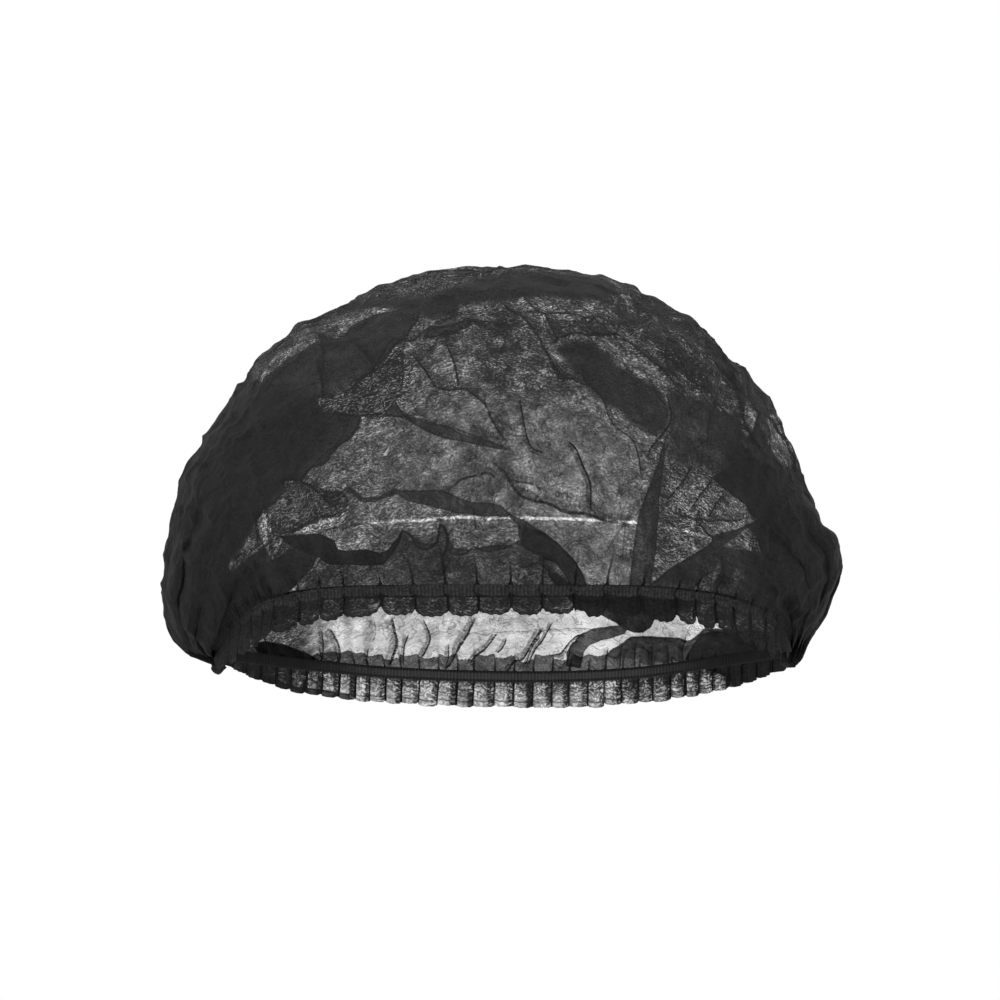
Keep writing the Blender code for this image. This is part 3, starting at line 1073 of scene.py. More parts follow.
    def weight(self, at: WebPoints) -> np.ndarray:
        """How much light one layer holds back: it lets through exp(-weight).

        Args:
            at: the points.

        Returns:
            The optical weight of each point.
        """
        above = at.above
        front = at.m < self.form.web / 2
        top = 1.0 - np.abs(at.m / self.form.web - 0.5) * 2.0
        crown = self.crown_weight + 0.40 * ease(0.35, 0.65, top) + 0.60 * ease(0.62, 0.95, top)
        far = self.far_weight + 0.18 * ease(0.028, 0.045, above) + 0.38 * ease(0.064, 0.080, above)
        back = far + 0.75 * ease(0.62, 0.95, top)
        back_frill = self.back_frill_weight - 1.05 * ease(0.004, 0.0115, -above)
        frill = np.where(front, self.front_frill_weight, back_frill)
        body = np.where(front, crown, back)
        side = self.end_weight * (1.0 - ease(0.03, 0.22, at.end))
        side = side * np.where(front & (above < 0), 0.4, 1.0)
        return np.where(above < 0, frill, body) + side


class Socket:
    """A number carried by a shader socket. Arithmetic on it adds Math nodes."""

    def __init__(self, graph: "Graph", link: bpy.types.NodeSocket) -> None:
        """Holds the socket.

        Args:
            graph: the material's nodes.
            link: the output socket.
        """
        self.graph = graph
        self.link = link

    def __add__(self, other: "Socket | float") -> "Socket":
        """Sum."""
        return self.graph.math("ADD", self, other)

    def __radd__(self, other: float) -> "Socket":
        """Sum, the other way round."""
        return self.graph.math("ADD", other, self)

    def __sub__(self, other: "Socket | float") -> "Socket":
        """Difference."""
        return self.graph.math("SUBTRACT", self, other)

    def __rsub__(self, other: float) -> "Socket":
        """Difference, the other way round."""
        return self.graph.math("SUBTRACT", other, self)

    def __mul__(self, other: "Socket | float") -> "Socket":
        """Product."""
        return self.graph.math("MULTIPLY", self, other)

    def __rmul__(self, other: float) -> "Socket":
        """Product, the other way round."""
        return self.graph.math("MULTIPLY", other, self)

    def __neg__(self) -> "Socket":
        """The number with its sign changed."""
        return self.graph.math("MULTIPLY", self, -1.0)

    def __abs__(self) -> "Socket":
        """The number's size."""
        return self.graph.math("ABSOLUTE", self)

    def step(self, low: float, high: float) -> "Socket":
        """Smooth step of the number, falling if low is above high.

        Args:
            low: where the result is 0.
            high: where it is 1.

        Returns:
            The step.
        """
        first, last = min(low, high), max(low, high)
        ends = {"From Min": first, "From Max": last, "Value": self}
        if low > high:
            ends.update({"To Min": 1.0, "To Max": 0.0})
        made = self.graph.node("ShaderNodeMapRange", {"interpolation_type": "SMOOTHSTEP"}, ends)
        return Socket(self.graph, made.outputs["Result"])


class Graph:
    """The nodes of one material."""

    def __init__(self, name: str) -> None:
        """Makes an empty material.

        Args:
            name: the material's name.
        """
        self.material = bpy.data.materials.new(name)
        self.material.use_nodes = True
        self.tree = self.material.node_tree
        self.tree.nodes.clear()

    def node(self, kind: str, settings: dict | None = None, sockets: dict | None = None) -> bpy.types.Node:
        """Adds a node.

        Args:
            kind: its type.
            settings: its own settings, set first.
            sockets: values or links of its inputs, by name or number.

        Returns:
            The node.
        """
        made = self.tree.nodes.new(kind)
        for key, value in (settings or {}).items():
            setattr(made, key, value)
        for key, value in (sockets or {}).items():
            if isinstance(value, Socket):
                self.tree.links.new(value.link, made.inputs[key])
            else:
                made.inputs[key].default_value = value
        return made

    def math(self, operation: str, *values: Socket | float) -> Socket:
        """Adds a Math node.

        Args:
            operation: what it does.
            values: its inputs.

        Returns:
            Its result.
        """
        made = self.node("ShaderNodeMath", {"operation": operation}, dict(enumerate(values)))
        return Socket(self, made.outputs[0])

    def attribute(self, name: str) -> Socket:
        """A number that the mesh carries.

        Args:
            name: the attribute.

        Returns:
            The number.
        """
        made = self.node("ShaderNodeAttribute", {"attribute_name": name})
        return Socket(self, made.outputs["Fac"])

    def cloth_place(self) -> Socket:
        """The place on the cloth, from the piece's own UV map, in tenths of a metre."""
        return Socket(self, self.node("ShaderNodeUVMap", {"uv_map": "cloth"}).outputs["UV"])

    def object_place(self) -> Socket:
        """The place in the row frame, in metres."""
        return Socket(self, self.node("ShaderNodeTexCoord").outputs["Object"])

    def noise(self, place: Socket, scale: float, detail: float = 2.0, twist: float = 0.0) -> Socket:
        """Noise between 0 and 1.

        Args:
            place: where.
            scale: how many swells to a unit.
            detail: how many finer octaves.
            twist: how far it is distorted.

        Returns:
            The noise.
        """
        made = self.node(
            "ShaderNodeTexNoise",
            None,
            {"Vector": place, "Scale": scale, "Detail": detail, "Roughness": 0.55, "Distortion": twist},
        )
        return Socket(self, made.outputs["Fac"])

    def blend(self, share: Socket, first: tuple, second: tuple) -> Socket:
        """A colour between two.

        Args:
            share: 0 for the first, 1 for the second.
            first: a colour.
            second: another.

        Returns:
            The colour.
        """
        made = self.node("ShaderNodeMix", {"data_type": "RGBA"}, {"Factor": share})
        made.inputs[6].default_value = (*first, 1.0)
        made.inputs[7].default_value = (*second, 1.0)
        return Socket(self, made.outputs[2])

    def bump(self, height: Socket, strength: float, distance: float) -> Socket:
        """A normal roughened by a height.

        Args:
            height: the height, 0 to 1.
            strength: how strong.
            distance: metres that 1 stands for.

        Returns:
            The normal.
        """
        sockets = {"Height": height, "Strength": strength, "Distance": distance}
        made = self.node("ShaderNodeBump", None, sockets)
        return Socket(self, made.outputs["Normal"])

    def finish(self, sockets: dict) -> bpy.types.Material:
        """Ends the material in one Principled shader.

        Args:
            sockets: values or links of its inputs.

        Returns:
            The material.
        """
        shader = self.node("ShaderNodeBsdfPrincipled", None, sockets)
        end = self.node("ShaderNodeOutputMaterial")
        self.tree.links.new(shader.outputs[0], end.inputs[0])
        return self.material


@dataclass(frozen=True)
class ClothFinish:
    """Thin black spunbond cloth: matte fibres with light coming through between them.

    Each gain is the strength of one kind of unevenness. A pair of gains is the strength
    where the cloth is smooth and what crinkles add to it. The two numbers of an edge are
    where its mark is nothing and where it is whole: mm from the mark's middle, or its half
    widths for creases and pleats. A welt runs along both sides of each elastic, a rim and
    a stitch along each frill's edge, and a seam round each sharp patch. The weights are how
    much the marks add to a layer's own. The shades are shares of the way from dark to pale.
    """

    dark: tuple[float, float, float] = (0.0115, 0.0115, 0.0117)
    pale: tuple[float, float, float] = (0.0600, 0.0600, 0.0608)
    roughness: float = 0.70
    strokes_a_unit: float = 46.0
    stroke_sway: float = 6.0
    dash_scale: float = 66.0
    speck_scale: float = 120.0
    cloud_scale: float = 13.0
    stroke_gain: tuple[float, float] = (0.25, 1.05)
    line_gain: tuple[float, float] = (0.4, 0.7)
    dash_gain: float = 1.5
    speck_gain: float = 0.9
    cloud_gain: float = 2.4
    blotch_gain: float = 1.4
    calm_gain: float = 0.78
    least_texture: float = 0.20
    least_weight: float = 0.02
    band_edge_mm: tuple[float, float] = (3.3, 2.5)
    welt_at_mm: float = 2.8
    welt_edge_mm: tuple[float, float] = (0.9, 0.25)
    free_mm: tuple[float, float] = (6.0, 16.0)
    rim_edge_mm: tuple[float, float] = (1.0, 0.45)
    stitch_at_mm: float = 2.6
    stitch_edge_mm: tuple[float, float] = (0.55, 0.2)
    crease_edge: tuple[float, float] = (1.0, 0.40)
    crease_weight: float = 1.5
    pleat_edge: tuple[float, float] = (1.0, 0.30)
    patch_edge_mm: tuple[float, float] = (0.20, -0.20)
    seam_edge_mm: tuple[float, float] = (0.60, 0.15)
    seam_weight: float = 0.55
    wrinkle_edge: tuple[float, float] = (0.012, 0.004)
    wrinkle_weight: float = 0.55
    base_shade: float = 0.10
    fibre_shade: float = 0.36
    cloud_shade: float = 0.30
    band_shade: float = 0.19
    # Painted highlight: how much paler the cloth is made on the rib tops over the elastic.
    rib_painted_highlight: float = 0.85
    # Painted light: how much paler the cloth is made low down near the welds, lifting the shade that the
    # crown casts there.
    weld_painted_light_share: float = 0.16
    weld_edge_mm: tuple[float, float] = (30.0, 12.0)

    def material(self) -> bpy.types.Material:
        """Builds the finish.

        The optical weight of a layer is its own weight times a texture: wavy strokes along
        the strip, the sine of the distance over the crown swayed by slow noise and broken
        into dashes by a finer one, then specks and clouds. Creases, doubled patches, the
        hems, the lines between puffs and the ribs over the elastics add to it. The layer
        lets through exp(-weight) of the light behind it.

        Returns:
            The material.
        """
        g = Graph("nonwoven_cloth")
        place = g.cloth_place()
        over = Socket(g, g.node("ShaderNodeSeparateXYZ", None, {0: place}).outputs[1])
        sway = self.stroke_sway * g.noise(place, 12.0, 1.5, 0.4) + 1.6 * g.noise(place, 56.0, 0.0)
        wave = 0.5 + 0.5 * g.math("SINE", (over * self.strokes_a_unit + sway) * TURN)
        stroke = wave.step(0.15, 0.85)
        dash = g.noise(place, self.dash_scale, 1.0, 0.6)
        speck = g.noise(place, self.speck_scale, 0.0, 0.3)
        cloud = g.noise(place, self.cloud_scale, 2.5, 0.6)
        blotch = g.noise(place, 3.2, 2.0, 0.3)
        crinkled = g.attribute("strokes")
        lines = (stroke - 0.5) * (self.stroke_gain[0] + self.stroke_gain[1] * crinkled)
        lines = lines + self.dash_gain * (dash - 0.5) + self.speck_gain * (speck - 0.5)
        texture = lines * (self.line_gain[0] + self.line_gain[1] * crinkled)
        texture = texture + self.cloud_gain * (cloud - 0.5) + self.blotch_gain * (blotch - 0.5)
        loose = 1.0 - self.calm_gain * g.attribute("calm")
        texture = g.math("MAXIMUM", 1.0 + texture * loose, self.least_texture)
        wobble = 0.6 * (dash - 0.5) + 0.5 * (cloud - 0.5)
        above, edge = g.attribute("above_mm"), g.attribute("edge_mm")
        rib = 0.5 + 0.5 * g.math("COSINE", g.attribute("ribs") * TURN + 6.0 * (dash - 0.5))
        over_band = abs(above).step(*self.band_edge_mm)
        from_end = g.attribute("from_end")
        welt = abs(abs(above) - self.welt_at_mm).step(*self.welt_edge_mm)
        welt = welt * (0.05 + 0.8 * (1.0 - rib)) * from_end
        beside = g.attribute("crease_gap") + 0.6 * wobble
        flank = beside.step(0.0, 0.6) * beside.step(4.6, 3.2) * 0.28
        broken = g.math("MAXIMUM", 3.0 * dash - 0.5, 0.3)
        crease = (abs(beside).step(*self.crease_edge) + flank) * g.attribute("crease_ink") * broken
        pleat = abs(g.attribute("pleat_gap") + 0.8 * wobble).step(*self.pleat_edge)
        pleat = pleat * g.attribute("pleat_ink")
        hem = g.attribute("stitch")
        rim = edge.step(*self.rim_edge_mm) * (0.65 - 0.65 * hem)
        stitch = abs(edge - self.stitch_at_mm).step(*self.stitch_edge_mm) * hem
        weight = g.attribute("weight") * texture + crease * self.crease_weight
        weight = weight + welt + pleat + rim + stitch
        weight = weight + over_band * (0.5 * (1.0 - rib) + 0.5)
        free = abs(above).step(*self.free_mm)
        wrinkle = abs(g.noise(place, 4.2, 3.0, 0.9) - 0.5).step(*self.wrinkle_edge) * free
        fold = abs(g.noise(place, 9.0, 2.0, 0.5) - 0.56).step(*self.wrinkle_edge)
        wrinkle = wrinkle + fold * free
        weight = weight + self.wrinkle_weight * wrinkle
        for patch in ("flap", "under", "lap"):
            gap = g.attribute(patch + "_gap") + wobble
            ink = g.attribute(patch + "_ink")
            weight = weight + gap.step(*self.patch_edge_mm) * ink * (0.7 + 0.3 * texture)
            seam = abs(gap + 0.25).step(*self.seam_edge_mm) * ink.step(0.0, 0.3)
            weight = weight + seam * self.seam_weight
        alpha = 1.0 - g.math("EXPONENT", -g.math("MAXIMUM", weight, self.least_weight))
        fibre = 0.35 * stroke + 0.65 * dash
        # Over the elastic the colour is paler, and paler still on the rib tops, which is painted highlight.
        ribbed = over_band * from_end * (self.band_shade + self.rib_painted_highlight * rib * (1.7 * dash - 0.25))
        # Fibre and cloud are the cloth's own uneven tone; the wrinkle lines are painted darker, which is
        # painted shade in the creases.
        uneven = self.fibre_shade * (fibre - 0.5) + self.cloud_shade * (cloud - 0.5) - 0.05 * wrinkle
        # Painted light: the colour is made paler near the welds, close to the elastics, to lift the shade
        # that the crown casts on the cloth low down there.
        weld_painted_light = self.weld_painted_light_share * (1.0 - from_end) * abs(above).step(*self.weld_edge_mm)
        shade = g.math("MINIMUM", self.base_shade + uneven + weld_painted_light + ribbed, 1.0)
        return g.finish(
            {
                "Base Color": g.blend(shade, self.dark, self.pale),
                "Roughness": self.roughness + 0.12 * (cloud - 0.5),
                "Specular IOR Level": 0.05,
                "Alpha": alpha,
                "Normal": g.bump(fibre, 0.45, 0.0005),
            }
        )


@dataclass(frozen=True)
class ElasticFinish:
    """Black elastic under finely pleated cloth: rib tops painted pale as a highlight, between dark grooves.

    middle_edge is where the paler middle ends across the band, and the two ends where the
    ribs fade out along it, all on the UV map, in tenths of a metre.
    """

    groove: tuple[float, float, float] = (0.008, 0.008, 0.008)
    # The rib colour is painted highlight on the rib tops; the groove colour is the elastic's own black.
    rib: tuple[float, float, float] = (0.075, 0.075, 0.076)
    ribs_a_unit: float = 64.375
    middle_edge: tuple[float, float] = (0.017, 0.011)
    left_end: tuple[float, float] = (0.60, 1.15)
    right_end: tuple[float, float] = (2.70, 2.10)

    def material(self) -> bpy.types.Material:
        """Builds the finish: ribs across the strip, painted pale on their tops as a highlight that noise
        breaks up, darker along both edges.

        Returns:
            The material.
        """
        g = Graph("elastic")
        place = g.cloth_place()
        parts = g.node("ShaderNodeSeparateXYZ", None, {0: place})
        along, across = Socket(g, parts.outputs[0]), Socket(g, parts.outputs[1])
        uneven = g.noise(place, 30.0, 2.0)
        wave = g.math("COSINE", along * (TURN * self.ribs_a_unit) + 4.5 * (uneven - 0.5))
        fine = g.noise(place, 75.0, 1.0, 0.5)
        # Painted highlight on the rib tops, broken up by noise.
        rib = (0.5 + 0.5 * wave) * (0.1 + 1.5 * (uneven - 0.15)) * (3.0 * fine - 0.5)
        middle = abs(across).step(*self.middle_edge)
        share = 0.15 + 0.24 * rib + middle * (0.50 + 0.55 * rib)
        from_ends = along.step(*self.left_end) * along.step(*self.right_end)
        return g.finish(
            {
                "Base Color": g.blend(0.18 + (share - 0.18) * from_ends, self.groove, self.rib),
                "Roughness": 0.55 + 0.2 * (uneven - 0.5),
                "Specular IOR Level": 0.07,
                "Normal": g.bump(uneven, 0.3, 0.0003),
            }
        )


@dataclass(frozen=True)
class WeldFinish:
    """Many layers of cloth pressed together: near black, with the press's fine grid in it."""

    dark: tuple[float, float, float] = (0.005, 0.005, 0.005)
    shine: tuple[float, float, float] = (0.014, 0.014, 0.014)
    grid: float = 900.0

    def material(self) -> bpy.types.Material:
        """Builds the finish.

        Returns:
            The material.
        """
        g = Graph("welded_cloth")
        place = g.object_place()
        parts = g.node("ShaderNodeSeparateXYZ", None, {0: place})
        x, z = Socket(g, parts.outputs[0]), Socket(g, parts.outputs[2])
        pressed = g.math("SINE", (x + z) * (self.grid * 2)) * g.math("SINE", (x - z) * (self.grid * 2))
        grain = g.noise(place, 700.0, 2.0)
        height = 0.5 + 0.35 * pressed + 0.4 * (grain - 0.5)
        return g.finish(
            {
                "Base Color": g.blend(height, self.dark, self.shine),
                "Roughness": 0.5 + 0.2 * (grain - 0.5),
                "Specular IOR Level": 0.25,
                "Normal": g.bump(height, 0.5, 0.0003),
            }
        )


@dataclass(frozen=True)
class FloorFinish:
    """A plain pale studio floor."""

    colour: tuple[float, float, float] = (0.93, 0.93, 0.93)

    def material(self) -> bpy.types.Material:
        """Builds the finish.

        Returns:
            The material.
        """
        g = Graph("studio_floor")
        haze = g.noise(g.object_place(), 1.5, 2.0)
        paler = tuple(min(1.0, c + 0.01) for c in self.colour)
        return g.finish({"Base Color": g.blend(haze, self.colour, paler), "Roughness": 0.9})


def grid_piece(
    name: str,
    places: np.ndarray,
    cloth: np.ndarray,
    material: bpy.types.Material,
    closed: bool = False,
    numbers: dict[str, np.ndarray] | None = None,
) -> bpy.types.Object:
    """Makes a mesh of quads from a grid of places, facing along (column step) x (row step).

    Args:
        name: the piece's name.
        places: rows by columns by 3.
        cloth: rows by columns by 2, the UV map in tenths of a metre.
        material: the finish.
        closed: whether the last row joins the first, as in a tube.
        numbers: attributes of the vertices, rows by columns.

    Returns:
        The object.
    """
    rows, columns = places.shape[:2]
    index = np.arange(rows * columns).reshape(rows, columns)
    low = index if closed else index[:-1]
    high = np.roll(index, -1, axis=0) if closed else index[1:]
    quads = np.stack([low[:, :-1], low[:, 1:], high[:, 1:], high[:, :-1]], axis=-1).reshape(-1, 4)
    mesh = bpy.data.meshes.new(name)
    mesh.vertices.add(rows * columns)
    mesh.vertices.foreach_set("co", places.astype(np.float32).ravel())
    mesh.loops.add(quads.size)
    mesh.loops.foreach_set("vertex_index", quads.astype(np.int32).ravel())
    mesh.polygons.add(len(quads))
    mesh.polygons.foreach_set("loop_start", np.arange(0, quads.size, 4, dtype=np.int32))
    mesh.update(calc_edges=True)
    layer = mesh.uv_layers.new(name="cloth")
    layer.data.foreach_set("uv", cloth.reshape(-1, 2)[quads.ravel()].astype(np.float32).ravel())
    for key, values in (numbers or {}).items():
        data = mesh.attributes.new(key, "FLOAT", "POINT").data
        data.foreach_set("value", values.astype(np.float32).ravel())
    mesh.polygons.foreach_set("use_smooth", np.ones(len(quads), bool))
    mesh.materials.append(material)
    mesh.validate()
    piece = bpy.data.objects.new(name, mesh)
    bpy.context.scene.collection.objects.link(piece)
    return piece


@dataclass
class ClothPiece:
    """One stretch of the web, from one line across it to another."""

    name: str
    start: float
    end: float
    columns: int
    rows: int
    flat_width: float = 0.45

    def build(self, cloth: PleatedCloth, material: bpy.types.Material) -> bpy.types.Object:
        """Makes the stretch as a fine grid of the web, one layer thick.

        Args:
            cloth: the web.
            material: its finish.

        Returns:
            The piece.
        """
        u, m = np.meshgrid(np.linspace(0, 1, self.columns), np.linspace(self.start, self.end, self.rows))
        made = cloth.shape(u, m)
        places = made.pop("places")
        place = np.stack([made.pop("across"), m * 10.0], axis=-1)
        piece = grid_piece(self.name, places, place, material, numbers=made)
        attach(piece, "root")
        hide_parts("crown")
        self.end - self.start
        return piece


@dataclass
class ElasticBand:
    """One ribbed elastic, a flat band that follows the rim just inside the cloth.

    It ends end_share of the rim's length short of each weld, and thins out over the last
    taper_share of it. uv_length is its length in tenths of a metre.
    """

    name: str
    node: str
    on_front: bool
    inset: float = 0.0011
    height: float = 0.0052
    thickness: float = 0.0011
    ribs: int = 206
    stations_a_rib: int = 6
    end_share: float = 0.003
    taper_share: float = 0.002
    uv_length: float = 3.2

    def build(self, form: CapForm, material: bpy.types.Material) -> bpy.types.Object:
        """Carries a flat eight-point section along the rim, thicker at each rib.

        Args:
            form: the resting form, whose rim it follows.
            material: its finish.

        Returns:
            The piece.
        """
        count = self.ribs * self.stations_a_rib + 1
        first, last = self.end_share, 1.0 - self.end_share
        share = np.linspace(first, last, count)
        x, y = form.along(form.rim, share)
        side = -1.0 if self.on_front else 1.0
        centre = np.column_stack([x, side * y, form.rim_height(share, np.full(count, self.on_front))])
        out = np.column_stack([x / form.half_width**2, side * y / form.half_depth**2, np.zeros(count)])
        out /= np.linalg.norm(out, axis=1)[:, None]
        half = self.height / 2
        rib = np.cos(TURN * share * self.ribs)
        uneven = 0.75 + 0.5 * lattice_noise(share * 90, share * 0 + 0.5, 31)
        thick = self.thickness * (0.5 + 0.28 * rib * uneven)
        section_out = np.array([1.0, 1.0, 0.8, -0.8, -1.0, -1.0, -0.8, 0.8])
        section_up = np.array([-0.8, 0.8, 1.0, 1.0, 0.8, -0.8, -1.0, -1.0])
        from_end = np.minimum(share - first, last - share)
        taper = np.minimum(1.0, from_end / self.taper_share)[:, None]
        places = (
            (centre - out * self.inset)[None]
            + section_out[:, None, None] * (out * thick[:, None] * taper)[None]
            + section_up[:, None, None] * (np.array([0, 0, 1.0]) * half * taper)[None]
        )
        along, over = share[None] * self.uv_length, section_up[:, None] * half * 10
        cloth = np.stack(np.broadcast_arrays(along, over), axis=-1)
        if self.on_front:
            places, cloth = places[::-1], cloth[::-1]
        piece = grid_piece(self.name, places, cloth, material, closed=True)
        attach(piece, "root")
        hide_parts(self.node)
        return piece


@dataclass
class EndWeld:
    """The stack of pleats welded at one end, with a torn lower tail."""

    name: str
    node: str
    side: float
    width: float = 0.0058
    bottom: float = -0.0075
    top: float = 0.0195
    depth: float = 0.0032
    inset: float = 0.0012
    lean: float = 0.0010
    rows: int = 70
    columns: int = 36

    def build(self, form: CapForm, material: bpy.types.Material) -> bpy.types.Object:
        """Carries a rounded flat section up the weld, its outline uneven from layer to layer.

        Args:
            form: the resting form, whose ends it closes.
            material: its finish.

        Returns:
            The piece.
        """
        up = np.linspace(0.0, 1.0, self.rows)
        turn = np.linspace(0.0, TURN, self.columns)
        t, a = np.meshgrid(up, turn, indexing="ij")
        caps = np.sqrt(np.clip(1 - np.abs(2 * t - 1) ** 14, 0, 1))
        layers = lattice_noise(t * 34, np.zeros_like(t) + 0.5, 41 + int(self.side))
        ragged = 1.0 + 0.13 * layers + 0.5 * bell((t - 0.03) / 0.05) * (0.6 + 0.4 * np.cos(3 * a))
        across = np.sign(np.cos(a)) * np.abs(np.cos(a)) ** 0.5 * self.width / 2 * caps * ragged
        deep = np.sign(np.sin(a)) * np.abs(np.sin(a)) ** 0.5 * self.depth / 2 * caps * (1 + 0.1 * layers)
        x = self.side * (form.half_width - self.inset) + across
        tail = 0.0012 * bell(t / 0.08) * np.cos(2 * a)
        z = self.bottom + (self.top - self.bottom) * t + tail
        places = np.stack([x, deep + self.lean * np.sin(5 * t), z], axis=-1)
        cloth = np.stack([a, t], axis=-1)
        piece = grid_piece(self.name, places, cloth, material)
        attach(piece, "root")
        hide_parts(self.node)
        return piece


@dataclass
class Studio:
    """The pale floor, the even light of the room and one soft light."""

    floor_height: float = -0.30
    floor_side: float = 6.0
    world_strength: float = 1.0
    key_power: float = 6.0
    key_size: float = 1.2
    key_place: tuple[float, float, float] = (-0.7, -1.2, 1.3)
    key_tilt: float = 42.0
    key_turn: float = -30.0
    bounces: int = 8
    layers_seen_through: int = 96

    def build(self) -> None:
        """Makes the floor, the world and the light."""
        half = self.floor_side / 2
        x, y = np.meshgrid(np.linspace(-half, half, 5), np.linspace(-half, half, 5))
        places = np.stack([x, y, np.full_like(x, self.floor_height)], axis=-1)
        floor = grid_piece("floor", places, np.stack([x, y], axis=-1), FloorFinish().material())
        world = bpy.data.worlds.new("room")
        world.use_nodes = True
        background = world.node_tree.nodes["Background"]
        background.inputs["Color"].default_value = (1.0, 1.0, 1.0, 1.0)
        background.inputs["Strength"].default_value = self.world_strength
        bpy.context.scene.world = world
        data = bpy.data.lights.new("soft_key", "AREA")
        data.shape, data.size, data.energy = "DISK", self.key_size, self.key_power
        lamp = bpy.data.objects.new("soft_key", data)
        lamp.location = self.key_place
        lamp.rotation_euler = (math.radians(self.key_tilt), 0.0, math.radians(self.key_turn))
        bpy.context.scene.collection.objects.link(lamp)
        scene = bpy.context.scene
        scene.view_settings.view_transform = "Standard"
        scene.cycles.transparent_max_bounces = self.layers_seen_through
        scene.cycles.max_bounces = self.bounces


NEAR, FAR = Wall.NEAR, Wall.FAR
FLAP, UNDER, LAP = FoldKind.FLAP, FoldKind.UNDER, FoldKind.LAP
SHADE, STROKES = FoldKind.SHADE, FoldKind.STROKES
EVEN = Taper.EVEN
DOT_SIDES = 10
DOT_PROUD_MM = 0.2
DOT_INK = 0.35

